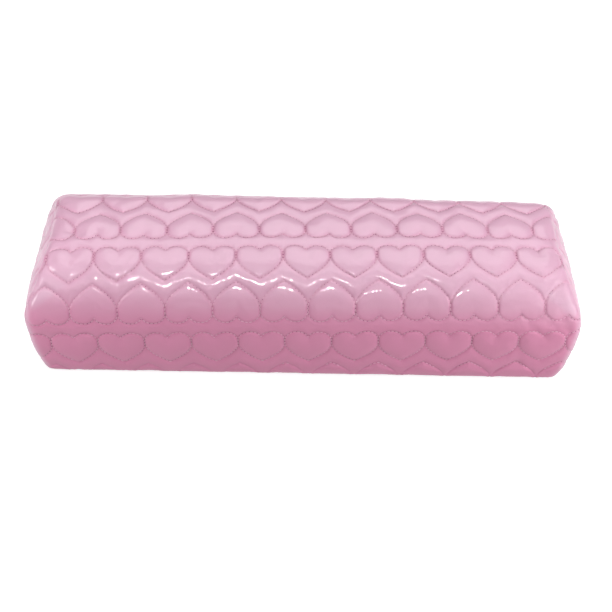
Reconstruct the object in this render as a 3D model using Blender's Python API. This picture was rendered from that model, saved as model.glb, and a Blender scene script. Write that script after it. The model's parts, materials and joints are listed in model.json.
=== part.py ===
"""Manicure hand rest: a long foam block in a sewn cover of heart-quilted imitation leather.

The rest lies along X with its front towards -Y, and its origin is under its middle, on the table.
The cover's shape is given by its stitched surface, the level that the quilting thread pulls the
goods down to. The padding between the stitches puffs out of that surface, and the wall and the
foam lie under it. A place on the cover has flat pattern coordinates: u along the rest, and s
across it, from the middle of the top down towards the back (+) or the front (-).
"""
import math

import bmesh
import bpy
import numpy as np
from mathutils import Vector, geometry

# Body, in metres, measured at the stitched surface
BODY_LENGTH = 0.3006
BASE_WIDTH = 0.0950
BODY_HEIGHT = 0.0665
SIDE_LEAN = math.radians(3.7)
SHOULDER_RADIUS = 0.0285
CROWN_RADIUS = 0.3200
BASE_EDGE_RADIUS = 0.0025
TURN_UNDER = 0.0030
END_RADIUS = 0.0060

# How the soft body departs from a straight block
EAR_HEIGHT = 0.0400
TOP_PULL_IN = 0.0098
BASE_PULL_IN = 0.0068
EAR_SPREAD = 0.45
END_SAG = 0.0025
END_BULGE = 0.0015
BULGE_REACH = 0.0250

# Walls and clearances
WALL = 0.0015
SEAM_GAP = 0.0004
FOAM_GAP = 0.0005

# Quilting: a heart is measured from the line through its two sides, and the rows lie a little askew
HEART_WIDTH = 0.0254
HEART_TIP = 0.0155
HEART_LOBE = 0.0075
HEART_CUSP = 0.0037
HEART_SIDE = 0.0024
TIP_FULLNESS = 0.0070
LOBE_BAND = 0.0068
TIP_BAND = 0.0012
END_ROW_HEIGHT = 0.0330
HEART_RISE = 0.0013
BAND_RISE = 0.0009
PUFF_REACH = 0.0036
PUFF_FADE_HEIGHT = 0.0100
QUILT_TURN = math.radians(1.9)

# How finely the shapes are cut into faces
TIP_STEPS = 3
LOBE_STEPS = 4
RING_SCALES = (0.85, 0.45)
RING_SKIPS = (1, 3)
HEART_MIDDLE = -0.0020
FILLER_COLUMNS = 4
FILLER_ROWS = 12
FILLER_MARGIN = 0.0026
SEAM_STEP = 0.0042
SUPPORT_TURNS = (1.0, 1.5)
PROFILE_CUTS = (3, 5, 2, 2, 1)
LENGTH_CUTS = 12
TURN_CUTS = 3
CAP_RINGS = (0.66, 0.33)
SHARP_ANGLE = math.radians(55)
CUT_TOLERANCE = 1e-6
CUT_SLANT = 0.01
MERGE_DISTANCE = 0.00015

# Colours, roughness
VINYL_PINK = (0.78, 0.33, 0.50, 1.0)
VINYL_ROUGHNESS = 0.28
BASE_PINK = (0.74, 0.33, 0.49, 1.0)
BASE_ROUGHNESS = 0.45
FOAM_CREAM = (0.86, 0.82, 0.66, 1.0)
FOAM_ROUGHNESS = 0.95

QUARTER_TURN = math.pi / 2


def ease(t):
    """A smooth rise from 0 to 1."""
    t = np.clip(t, 0.0, 1.0)
    return t * t * (3 - 2 * t)


class Profile:
    """Half of the body's cross-section, from the middle of the top to the seam under the base.

    It runs through five pieces: crown, shoulder, side, base edge and underside. An inset moves
    the top and the side inwards, and a lift raises the underside.
    """

    def __init__(self, inset=0.0, lift=0.0):
        outward = np.array([math.cos(SIDE_LEAN), -math.sin(SIDE_LEAN)])
        upward = np.array([math.sin(SIDE_LEAN), math.cos(SIDE_LEAN)])
        foot = np.array([BASE_WIDTH / 2, 0.0])
        crown_middle = np.array([0.0, BODY_HEIGHT - CROWN_RADIUS])
        # The shoulder touches the side and the crown from inside
        start = foot - SHOULDER_RADIUS * outward - crown_middle
        along = start @ upward
        reach = CROWN_RADIUS - SHOULDER_RADIUS
        climb = -along + math.sqrt(along * along - start @ start + reach * reach)
        shoulder = start + climb * upward
        self.crown_middle = crown_middle
        self.crown_radius = CROWN_RADIUS - inset
        self.crown_angle = math.atan2(shoulder[0], shoulder[1])
        self.shoulder_middle = shoulder + crown_middle
        self.shoulder_radius = SHOULDER_RADIUS - inset
        self.side_angle = QUARTER_TURN + SIDE_LEAN
        edge_radius = BASE_EDGE_RADIUS - lift
        side_foot = foot - inset * outward
        edge_z = lift + edge_radius
        above_foot = edge_z - side_foot[1]
        edge_y = side_foot[0] + (above_foot * math.sin(SIDE_LEAN) - edge_radius) / math.cos(SIDE_LEAN)
        self.edge_middle = np.array([edge_y, edge_z])
        self.edge_radius = edge_radius
        self.side_top = self.shoulder_middle + self.shoulder_radius * outward
        self.side_bottom = self.edge_middle + edge_radius * outward
        self.under_start = np.array([edge_y, lift])
        self.under_end = np.array([edge_y - TURN_UNDER, lift])
        self.lengths = np.array([
            self.crown_radius * self.crown_angle,
            self.shoulder_radius * (self.side_angle - self.crown_angle),
            np.linalg.norm(self.side_top - self.side_bottom),
            edge_radius * (math.pi - self.side_angle),
            TURN_UNDER,
        ])
        self.half_girth = self.lengths.sum()

    def locate(self, s):
        """The piece that each s lies on, and the share of that piece that is passed."""
        ends = np.cumsum(self.lengths)
        distance = np.minimum(np.abs(s), ends[-1])
        piece = np.minimum(np.searchsorted(ends, distance), len(ends) - 1)
        share = (distance - (ends - self.lengths)[piece]) / self.lengths[piece]
        return piece, share

    def place(self, piece, share):
        """Points (y, z) and outward normals at places found by locate, on the +Y half."""
        angle = np.select(
            [piece == 0, piece == 1, piece == 2, piece == 3],
            [
                share * self.crown_angle,
                self.crown_angle + share * (self.side_angle - self.crown_angle),
                np.full(share.shape, self.side_angle),
                self.side_angle + share * (math.pi - self.side_angle),
            ],
            math.pi,
        )
        normal = np.stack([np.sin(angle), np.cos(angle)], axis=1)
        share = share[:, None]
        piece = piece[:, None]
        point = np.select(
            [piece == 0, piece == 1, piece == 2, piece == 3],
            [
                self.crown_middle + self.crown_radius * normal,
                self.shoulder_middle + self.shoulder_radius * normal,
                self.side_top + share * (self.side_bottom - self.side_top),
                self.edge_middle + self.edge_radius * normal,
            ],
            self.under_start + share * (self.under_end - self.under_start),
        )
        return point, normal

    def loop(self, stations):
        """Points (y, z) at stations of the stitched profile, front and back halves together."""
        piece, share = STITCHED.locate(stations)
        point, _ = self.place(piece, share)
        side = np.where(stations < 0, -1.0, 1.0)
        return np.stack([point[:, 0] * side, point[:, 1]], axis=1)


STITCHED = Profile()
HALF_GIRTH = STITCHED.half_girth
ROW_PERIOD = 2 * (HEART_TIP + HEART_LOBE) + TIP_BAND + LOBE_BAND


def end_reach(y, z):
    """How far from the middle the end stands: it is pulled in along its top and its base."""
    above = (z - EAR_HEIGHT) / (BODY_HEIGHT - EAR_HEIGHT)
    below = np.clip(1 - z / EAR_HEIGHT, 0.0, 1.0)
    ears = 1 - EAR_SPREAD * (2 * y / BASE_WIDTH) ** 2
    return BODY_LENGTH / 2 - TOP_PULL_IN * ease(above) * ears - BASE_PULL_IN * below ** 2


def settle(points):
    """Lets the top sink a little towards the ends, as the soft block does."""
    out = np.abs(points[:, 0]) / (BODY_LENGTH / 2)
    up = points[:, 2] / BODY_HEIGHT
    settled = points.copy()
    settled[:, 2] -= END_SAG * out ** 3 * up
    return settled


def turn_start(s):
    """How far from the middle the goods begin to turn over the end, for each s."""
    point, _ = STITCHED.place(*STITCHED.locate(s))
    return end_reach(point[:, 0], point[:, 1]) - END_RADIUS


def flat_points(t, s):
    """Flat pattern points: t runs to 1 where the turn over the end begins and to 2 at its seam."""
    start = turn_start(s)
    length = np.minimum(np.abs(t), 1.0) * start + np.clip(np.abs(t) - 1, 0, 1) * END_RADIUS * QUARTER_TURN
    return np.stack([np.sign(t) * length, s], axis=1)


def turned(flat, angle):
    """Flat points turned about the middle of the top."""
    across = math.cos(angle) * flat[:, 0] - math.sin(angle) * flat[:, 1]
    along = math.sin(angle) * flat[:, 0] + math.cos(angle) * flat[:, 1]
    return np.stack([across, along], axis=1)


def on_cover(flat, depth=0.0, rise=0.0):
    """Places of flat pattern points, depth under the stitched surface or rise above it."""
    u = np.abs(flat[:, 0])
    s = flat[:, 1]
    piece, share = STITCHED.locate(s)
    outer, normal = Profile(depth, depth).place(piece, share)
    seam, _ = Profile(END_RADIUS, depth).place(piece, share)
    start = turn_start(s)
    turn = np.clip((u - start) / END_RADIUS, 0.0, QUARTER_TURN)
    across = outer + (seam - outer) * (1 - np.cos(turn))[:, None]
    back = np.where(s < 0, -1.0, 1.0)
    right = np.where(flat[:, 0] < 0, -1.0, 1.0)
    on_flat = u / start * (end_reach(outer[:, 0], outer[:, 1]) - END_RADIUS)
    end_x = end_reach(across[:, 0], across[:, 1]) - depth
    on_turn = end_x - (END_RADIUS - depth) * (1 - np.sin(turn))
    x = np.where(turn > 0, on_turn, on_flat) * right
    points = np.stack([x, across[:, 0] * back, across[:, 1]], axis=1)
    outward = np.stack([
        np.sin(turn) * right,
        normal[:, 0] * back * np.cos(turn),
        normal[:, 1] * np.cos(turn),
    ], axis=1)
    return settle(points + outward * np.reshape(rise, (-1, 1)))


def heart_loop():
    """One stitched heart, tip down, with the line through its sides at height 0."""
    half = HEART_WIDTH / 2
    side = HEART_SIDE / 2
    t = np.linspace(0.0, 1.0, TIP_STEPS + 1)
    lower_x = half * (1 - (1 - t) ** 2)
    lower_y = -HEART_TIP * (1 - t) ** 2 - 2 * (side + TIP_FULLNESS) * t * (1 - t) - side * t * t
    lobe_height = HEART_LOBE - side
    lean = math.sqrt(1 - ((HEART_CUSP - side) / lobe_height) ** 2)
    lobe_middle = half * lean / (1 + lean)
    angle = np.linspace(0.0, math.acos(-lean), LOBE_STEPS + 1)
    upper_x = lobe_middle + (half - lobe_middle) * np.cos(angle)
    upper_y = side + lobe_height * np.sin(angle)
    right_x = np.concatenate([lower_x, upper_x])
    right_y = np.concatenate([lower_y, upper_y])
    right_x[-1] = 0.0
    left = np.stack([-right_x[1:-1], right_y[1:-1]], axis=1)[::-1]
    return np.concatenate([np.stack([right_x, right_y], axis=1), left])


def heart_rings(loop):
    """Points inside a heart that carry its puff: smaller hearts and a middle point."""
    middle = np.array([0.0, HEART_MIDDLE])
    rings = [middle + scale * (loop[::skip] - middle) for scale, skip in zip(RING_SCALES, RING_SKIPS)]
    return np.concatenate(rings + [middle[None]])


def heart_rows(low, high, first):
    """Yields the height, the side shift and the direction of each row of hearts in a range.

    Rows face each other by turns, lobes to lobes and tips to tips, and each row is half a
    heart beside the next. A row whose tips point up has its sides at first.
    """
    lobe_step = 2 * HEART_LOBE + LOBE_BAND
    reach = HEART_TIP + HEART_LOBE
    count = math.ceil((max(abs(low - first), abs(high - first)) + reach) / ROW_PERIOD)
    for k in range(-count, count + 1):
        tips_up = first + k * ROW_PERIOD
        for height, shift, direction in ((tips_up, 0.5, -1.0), (tips_up - lobe_step, 0.0, 1.0)):
            if low - reach < height < high + reach:
                yield height, shift, direction


def hearts_over(low, high, first):
    """Loops and inner points of all hearts that may touch a rectangle from low to high."""
    loop = heart_loop()
    rings = heart_rings(loop)
    columns = math.ceil(max(abs(low[0]), abs(high[0])) / HEART_WIDTH) + 1
    loops = []
    inner = []
    for height, shift, direction in heart_rows(low[1], high[1], first):
        for k in range(-columns, columns + 1):
            place = np.array([(k + shift) * HEART_WIDTH, height])
            turned = np.array([1.0, direction])
            if abs(place[0]) < max(abs(low[0]), abs(high[0])) + HEART_WIDTH / 2:
                loops.append(place + loop * turned)
                inner.append(place + rings * turned)
    return loops, np.concatenate(inner)


def filler_points(low, high, first):
    """A staggered lattice in step with the hearts, for the bands between them."""
    step = np.array([HEART_WIDTH / FILLER_COLUMNS, ROW_PERIOD / FILLER_ROWS])
    columns = math.ceil(high[0] / step[0])
    rows = math.ceil((max(abs(low[1]), abs(high[1])) + abs(first)) / step[1])
    points = []
    for row in range(-rows, rows + 1):
        for column in range(-columns, columns + 1):
            stagger = 0.5 * (row % 2)
            points.append(((column + stagger) * step[0], first + row * step[1]))
    return np.array(points)


def is_inside(points, loop):
    """Whether each point lies inside a closed loop."""
    inside = np.zeros(len(points), dtype=bool)
    for a, b in zip(loop, np.roll(loop, -1, axis=0)):
        crosses = (a[1] > points[:, 1]) != (b[1] > points[:, 1])
        rise = b[1] - a[1] if b[1] != a[1] else 1.0
        edge_x = a[0] + (points[:, 1] - a[1]) * (b[0] - a[0]) / rise
        inside ^= crosses & (points[:, 0] < edge_x)
    return inside


def distance_to_loops(points, loops):
    """The distance from each point to the nearest of some closed loops of stitches."""
    nearest = np.full(len(points), np.inf)
    for loop in loops:
        for a, b in zip(loop, np.roll(loop, -1, axis=0)):
            run = b - a
            share = np.clip((points - a) @ run / (run @ run), 0.0, 1.0)
            offset = points - a - share[:, None] * run
            nearest = np.minimum(nearest, np.hypot(offset[:, 0], offset[:, 1]))
    return nearest


def cut_flat(points, edges, border):
    """Triangles between flat points, along the given edges and inside the border.

    A slight slant makes each choice between two equal diagonals fall the same way in every heart.
    """
    slanted = points + np.stack([CUT_SLANT * points[:, 1], np.zeros(len(points))], axis=1)
    flat, _, faces, _, _, owners = geometry.delaunay_2d_cdt(
        [Vector(point) for point in slanted], edges, [border], 0, CUT_TOLERANCE)
    faces = [face for face, owner in zip(faces, owners) if owner]
    used = sorted({number for face in faces for number in face})
    renumber = {old: new for new, old in enumerate(used)}
    flat = np.array([flat[number][:] for number in used])
    flat[:, 0] -= CUT_SLANT * flat[:, 1]
    return flat, [tuple(renumber[number] for number in face) for face in faces]


def quilt(outline, first, supports):
    """A flat quilted panel: its points, its triangles and how far each point puffs out.

    The outline runs against the clock. Supports are points that keep the shape of tight bends.
    """
    low = outline.min(axis=0)
    high = outline.max(axis=0)
    loops, inner = hearts_over(low, high, first)
    filler = filler_points(low, high, first)
    keep = is_inside(filler, outline)
    for loop in loops:
        keep &= ~is_inside(filler, loop)
    keep &= distance_to_loops(filler, loops) > FILLER_MARGIN
    bends = supports[distance_to_loops(supports, loops) > FILLER_MARGIN / 2]
    between = np.concatenate([filler[keep], inner[is_inside(inner, outline)]])
    for bend in bends:
        between = between[np.hypot(*(between - bend).T) > FILLER_MARGIN]
    between = between[distance_to_loops(between, [outline]) > FILLER_MARGIN / 2]
    points = np.concatenate([outline] + loops + [between, bends])
    edges = []
    start = len(outline)
    for loop in loops:
        numbers = list(range(start, start + len(loop)))
        edges += list(zip(numbers, numbers[1:] + numbers[:1]))
        start += len(loop)
    flat, faces = cut_flat(points, edges, list(range(len(outline))))
    in_heart = np.zeros(len(flat), dtype=bool)
    for loop in loops:
        in_heart |= is_inside(flat, loop)
    near = distance_to_loops(flat, loops + [outline])
    slack = 1 - np.clip(near / PUFF_REACH, 0.0, 1.0)
    return flat, faces, np.where(in_heart, HEART_RISE, BAND_RISE) * np.sqrt(1 - slack * slack)


def loop_positions(points, outline):
    """How far round a closed outline each point of its border lies."""
    runs = np.roll(outline, -1, axis=0) - outline
    lengths = np.hypot(runs[:, 0], runs[:, 1])
    starts = np.cumsum(lengths) - lengths
    positions = []
    for point in points:
        share = np.clip(((point - outline) * runs).sum(axis=1) / lengths ** 2, 0.0, 1.0)
        offset = point - outline - share[:, None] * runs
        nearest = int(np.argmin(np.hypot(offset[:, 0], offset[:, 1])))
        positions.append(starts[nearest] + share[nearest] * lengths[nearest])
    return np.array(positions)


def border_vertices(faces):
    """Vertices on the open border of a sheet of faces."""
    uses = {}
    for face in faces:
        for a, b in zip(face, face[1:] + face[:1]):
            key = (min(a, b), max(a, b))
            uses[key] = uses.get(key, 0) + 1
    return sorted({number for edge, count in uses.items() if count == 1 for number in edge})


def rim_between(first, second):
    """Triangles between two closed loops, each a sorted list of (position, vertex)."""
    faces = []
    i = 0
    j = 0
    while i < len(first) or j < len(second):
        a = first[i % len(first)][1]
        b = second[j % len(second)][1]
        next_first = first[i + 1][0] if i + 1 < len(first) else math.inf
        next_second = second[j + 1][0] if j + 1 < len(second) else math.inf
        if i < len(first) and (next_first <= next_second or j >= len(second)):
            i += 1
            faces.append((a, first[i % len(first)][1], b))
        else:
            j += 1
            faces.append((a, second[j % len(second)][1], b))
    return faces


def grid_faces(columns, rows):
    """Faces of a grid whose vertices are numbered row by row."""
    faces = []
    for row in range(rows - 1):
        for column in range(columns - 1):
            corner = row * columns + column
            faces.append((corner, corner + 1, corner + columns + 1, corner + columns))
    return faces


def shift_faces(faces, offset):
    """The same faces for vertices that start at an offset."""
    return [tuple(number + offset for number in face) for face in faces]


def spread(ends, cuts):
    """Values from each end to the next, cut into the given number of steps."""
    values = [np.linspace(a, b, count + 1)[1:] for a, b, count in zip(ends, ends[1:], cuts)]
    return np.concatenate([[ends[0]]] + values)


def profile_stations():
    """Values of s from the front seam over the top to the back seam, for the plain surfaces."""
    half = spread(np.concatenate([[0.0], np.cumsum(STITCHED.lengths)]), PROFILE_CUTS)
    return np.concatenate([-half[:0:-1], half])


def seam_stations():
    """Values of s for the quilted surfaces' seams, at an even step of about SEAM_STEP."""
    cuts = [max(1, round(length / SEAM_STEP)) for length in STITCHED.lengths]
    half = spread(np.concatenate([[0.0], np.cumsum(STITCHED.lengths)]), cuts)
    return np.concatenate([-half[:0:-1], half])


def length_stations():
    """Values of t from the left end seam to the right one, as flat_points reads them."""
    return spread((-2.0, -1.0, 1.0, 2.0), (TURN_CUTS, LENGTH_CUTS, TURN_CUTS))


def add_material(name, colour, roughness):
    """A plain material with one colour."""
    material = bpy.data.materials.new(name)
    material.use_nodes = True
    shader = material.node_tree.nodes["Principled BSDF"]
    shader.inputs["Base Color"].default_value = colour
    shader.inputs["Roughness"].default_value = roughness
    shader.inputs["Metallic"].default_value = 0.0
    material.diffuse_color = colour
    return material


def add_solid(name, points, faces, material):
    """A closed body from points and faces, with its faces pointing out."""
    mesh = bpy.data.meshes.new(name)
    mesh.from_pydata([tuple(point) for point in points], [], faces)
    body = bmesh.new()
    body.from_mesh(mesh)
    bmesh.ops.remove_doubles(body, verts=body.verts[:], dist=MERGE_DISTANCE)
    bmesh.ops.triangulate(body, faces=body.faces[:])
    bmesh.ops.recalc_face_normals(body, faces=body.faces[:])
    body.to_mesh(mesh)
    body.free()
    mesh.shade_smooth()
    mesh.set_sharp_from_angle(angle=SHARP_ANGLE)
    mesh.materials.append(material)
    piece = bpy.data.objects.new(name, mesh)
    bpy.context.collection.objects.link(piece)
    return piece


def bend_supports(seam):
    """Flat points along the main panel's tight bends: over the ends and round the base edges."""
    ends = [flat_points(np.full(seam.shape, t * side), seam) for t in SUPPORT_TURNS for side in (-1, 1)]
    under = HALF_GIRTH - TURN_UNDER
    bend = STITCHED.lengths[3]
    half_length = BODY_LENGTH / 2 - BASE_PULL_IN - END_RADIUS
    steps = round(4 * half_length / HEART_WIDTH)
    along = np.linspace(-half_length, half_length, steps + 1)[1:-1]
    edges = []
    for s in (under, under - bend / 2, under - bend):
        for side in (-1, 1):
            edges.append(np.stack([along, np.full(along.shape, s * side)], axis=1))
    return np.concatenate(ends + edges)


def add_main_panel(material):
    """The quilted length over the front, the top and the back, turned over both ends."""
    stations = profile_stations()
    lengthwise = length_stations()
    seam = seam_stations()
    front_edge = flat_points(lengthwise, np.full(lengthwise.shape, -HALF_GIRTH))[:-1]
    right_edge = flat_points(np.full(seam.shape, 2.0), seam)[:-1]
    outline = np.concatenate([front_edge, right_edge, -front_edge, -right_edge])
    supports = turned(bend_supports(seam), -QUILT_TURN)
    flat, faces, puff = quilt(turned(outline, -QUILT_TURN), 0.0, supports)
    flat = turned(flat, QUILT_TURN)
    height = on_cover(flat)[:, 2]
    outer = on_cover(flat, rise=puff * ease(height / PUFF_FADE_HEIGHT))
    grid = flat_points(np.tile(lengthwise, len(stations)), np.repeat(stations, len(lengthwise)))
    inner = on_cover(grid, depth=WALL)
    inner_faces = grid_faces(len(lengthwise), len(stations))
    outer_border = border_vertices(faces)
    inner_border = border_vertices(inner_faces)
    outer_places = loop_positions(flat[outer_border], outline)
    inner_places = loop_positions(grid[inner_border], outline)
    inner_numbers = [number + len(outer) for number in inner_border]
    rim = rim_between(sorted(zip(outer_places, outer_border)), sorted(zip(inner_places, inner_numbers)))
    all_faces = faces + shift_faces(inner_faces, len(outer)) + rim
    return add_solid("main_panel", np.concatenate([outer, inner]), all_faces, material)


def end_grid(loop, depth):
    """A plain end surface inside a loop of (y, z): its rings, its middle point and its faces."""
    middle = loop.mean(axis=0)
    rings = [loop] + [middle + scale * (loop - middle) for scale in CAP_RINGS]
    flat = np.concatenate(rings + [middle[None]])
    x = end_reach(flat[:, 0], flat[:, 1]) - depth
    points = settle(np.stack([x, flat[:, 0], flat[:, 1]], axis=1))
    count = len(loop)
    faces = []
    for ring in range(len(CAP_RINGS)):
        for k in range(count):
            a = ring * count + k
            b = ring * count + (k + 1) % count
            faces.append((a, b, b + count, a + count))
    last = len(CAP_RINGS) * count
    faces += [(last + k, last + (k + 1) % count, len(flat) - 1) for k in range(count)]
    return points, faces


def end_panel_mesh(material):
    """The quilted panel that closes the right end, inside the main panel's seam."""
    inset = END_RADIUS + SEAM_GAP
    outline = Profile(inset, SEAM_GAP).loop(seam_stations())[::-1]
    flat, faces, puff = quilt(outline, END_ROW_HEIGHT + 2 * HEART_LOBE + LOBE_BAND, np.empty((0, 2)))
    bulge = END_BULGE * ease(distance_to_loops(flat, [outline]) / BULGE_REACH)
    x = end_reach(flat[:, 0], flat[:, 1]) + bulge + puff
    outer = settle(np.stack([x, flat[:, 0], flat[:, 1]], axis=1))
    stations = profile_stations()
    inner, inner_faces = end_grid(Profile(inset, WALL + SEAM_GAP).loop(stations), WALL)
    outer_border = border_vertices(faces)
    outer_places = loop_positions(flat[outer_border], outline)
    inner_places = loop_positions(Profile(inset, SEAM_GAP).loop(stations), outline)
    inner_numbers = range(len(outer), len(outer) + len(stations))
    rim = rim_between(sorted(zip(outer_places, outer_border)), sorted(zip(inner_places, inner_numbers)))
    all_faces = faces + shift_faces(inner_faces, len(outer)) + rim
    return add_solid("end_panel_right", np.concatenate([outer, inner]), all_faces, material)


def add_end_panels(material):
    """Both end panels: the left one is the right one turned half round."""
    right = end_panel_mesh(material)
    left = bpy.data.objects.new("end_panel_left", right.data)
    left.rotation_euler.z = math.pi
    bpy.context.collection.objects.link(left)
    return left, right


def inset_loop(loop, distance):
    """A loop of (x, y), in order against the clock, moved inwards by a distance."""
    run = np.roll(loop, -1, axis=0) - np.roll(loop, 1, axis=0)
    inward = np.stack([-run[:, 1], run[:, 0]], axis=1) / np.hypot(run[:, 0], run[:, 1])[:, None]
    return loop + distance * inward


def base_loop(depth):
    """The edge of the base, inside the main panel's seam, at a depth under the outside."""
    t = length_stations()
    back_seam = on_cover(flat_points(t, np.full(t.shape, HALF_GIRTH)), depth)[:, :2]
    front_seam = back_seam * np.array([1.0, -1.0])
    corner = back_seam[-1, 1]
    y = np.linspace(-corner, corner, PROFILE_CUTS[0] * 2 + 1)[1:-1]
    right_end = np.stack([end_reach(y, np.full(y.shape, depth)) - depth, y], axis=1)
    loop = np.concatenate([front_seam, right_end, back_seam[::-1], -right_end])
    return inset_loop(loop, SEAM_GAP)


def add_base_panel(material):
    """The plain panel that closes the underside."""
    lower = base_loop(0.0)
    upper = base_loop(WALL)
    count = len(lower)
    points = np.concatenate([
        np.concatenate([lower, np.zeros((count, 1))], axis=1),
        np.concatenate([upper, np.full((count, 1), WALL)], axis=1),
    ])
    faces = [tuple(range(count)), tuple(range(count, 2 * count))]
    for k in range(count):
        after = (k + 1) % count
        faces.append((k, after, count + after, count + k))
    return add_solid("base_panel", points, faces, material)


def add_foam_core(material):
    """The foam block, a clearance inside the cover all round."""
    depth = WALL + FOAM_GAP
    stations = profile_stations()
    lengthwise = length_stations()
    grid = flat_points(np.repeat(lengthwise, len(stations)), np.tile(stations, len(lengthwise)))
    points = on_cover(grid, depth)
    count = len(stations)
    faces = grid_faces(count, len(lengthwise))
    for row in range(len(lengthwise) - 1):
        corner = row * count
        faces.append((corner, corner + count, corner + 2 * count - 1, corner + count - 1))
    seam = Profile(END_RADIUS, depth).loop(stations)
    cap, cap_faces = end_grid(seam, depth)
    right_cap = cap[count:]
    left_cap = right_cap * np.array([-1.0, 1.0, 1.0])
    for first, inner in ((0, left_cap), (len(points) - count, right_cap)):
        start = len(points) - count
        points = np.concatenate([points, inner])
        for face in cap_faces:
            faces.append(tuple(number + (first if number < count else start) for number in face))
    return add_solid("foam_core", points, faces, material)


def build():
    """Clears the scene and makes the hand rest."""
    for old in list(bpy.data.objects):
        bpy.data.objects.remove(old, do_unlink=True)
    quilted = add_material("quilted_vinyl", VINYL_PINK, VINYL_ROUGHNESS)
    plain = add_material("base_vinyl", BASE_PINK, BASE_ROUGHNESS)
    foam = add_material("foam", FOAM_CREAM, FOAM_ROUGHNESS)
    pieces = [add_main_panel(quilted), *add_end_panels(quilted)]
    pieces += [add_base_panel(plain), add_foam_core(foam)]
    rest = bpy.data.objects.new("hand_rest", None)
    bpy.context.collection.objects.link(rest)
    for piece in pieces:
        piece.parent = rest
    return pieces


build()
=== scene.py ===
# %% [markdown]
# # A quilted manicure hand rest
#
# A hand rest is a soft block that a client's wrist lies on at a manicure table. This one is a
# foam block in a sewn cover of glossy pink imitation leather, quilted with rows of hearts.
# The imported CAD model is the frame: it fixes the size and where each panel lies, and this
# script gives each panel its puffs, stitches and finish. Loading comes first.

# %% Load the imported frame
import json
import math

import bmesh
import bpy
import numpy as np
from mathutils import Matrix, Vector, geometry, kdtree

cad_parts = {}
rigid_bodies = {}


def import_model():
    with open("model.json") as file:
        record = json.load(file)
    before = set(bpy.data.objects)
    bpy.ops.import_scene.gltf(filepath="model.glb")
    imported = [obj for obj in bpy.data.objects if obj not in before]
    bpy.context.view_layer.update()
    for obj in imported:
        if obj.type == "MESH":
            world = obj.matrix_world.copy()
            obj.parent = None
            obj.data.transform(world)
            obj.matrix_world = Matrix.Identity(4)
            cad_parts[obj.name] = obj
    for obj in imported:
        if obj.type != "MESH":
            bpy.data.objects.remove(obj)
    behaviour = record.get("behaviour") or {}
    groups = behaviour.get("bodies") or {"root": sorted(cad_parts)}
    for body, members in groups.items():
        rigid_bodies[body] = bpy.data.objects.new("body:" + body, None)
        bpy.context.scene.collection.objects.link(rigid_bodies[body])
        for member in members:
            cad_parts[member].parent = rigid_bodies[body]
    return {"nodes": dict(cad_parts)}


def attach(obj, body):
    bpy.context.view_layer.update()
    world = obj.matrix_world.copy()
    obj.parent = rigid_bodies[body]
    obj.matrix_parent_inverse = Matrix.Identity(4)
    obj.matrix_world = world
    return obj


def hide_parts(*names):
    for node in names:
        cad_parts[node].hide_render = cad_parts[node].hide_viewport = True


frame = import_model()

for leftover in [item for item in bpy.data.objects if item.name in ("Cube", "Camera", "Light")]:
    bpy.data.objects.remove(leftover, do_unlink=True)
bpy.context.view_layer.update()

# %% [markdown]
# ## The rest's section
#
# Cut across, the rest is a loaf: a nearly flat crown, round shoulders, sides that lean out
# towards the table, a small bend at the foot and a strip that turns under. It could be drawn
# as a curve by hand, but the goods have to lie on it without stretching, so the section is
# written as arcs and straight runs whose lengths are known. A distance along the goods then
# gives a place on the section.

# %% The section as runs of known length
BODY_LENGTH = 0.3006
BASE_WIDTH = 0.0950
BODY_HEIGHT = 0.0665
SIDE_LEAN = math.radians(3.7)
SHOULDER_RADIUS = 0.0285
CROWN_RADIUS = 0.3200
FOOT_RADIUS = 0.0025
TURN_UNDER = 0.0030
QUARTER_TURN = math.pi / 2


def ease(t):
    """A smooth rise from 0 to 1."""
    t = np.clip(t, 0.0, 1.0)
    return t * t * (3 - 2 * t)


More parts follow.
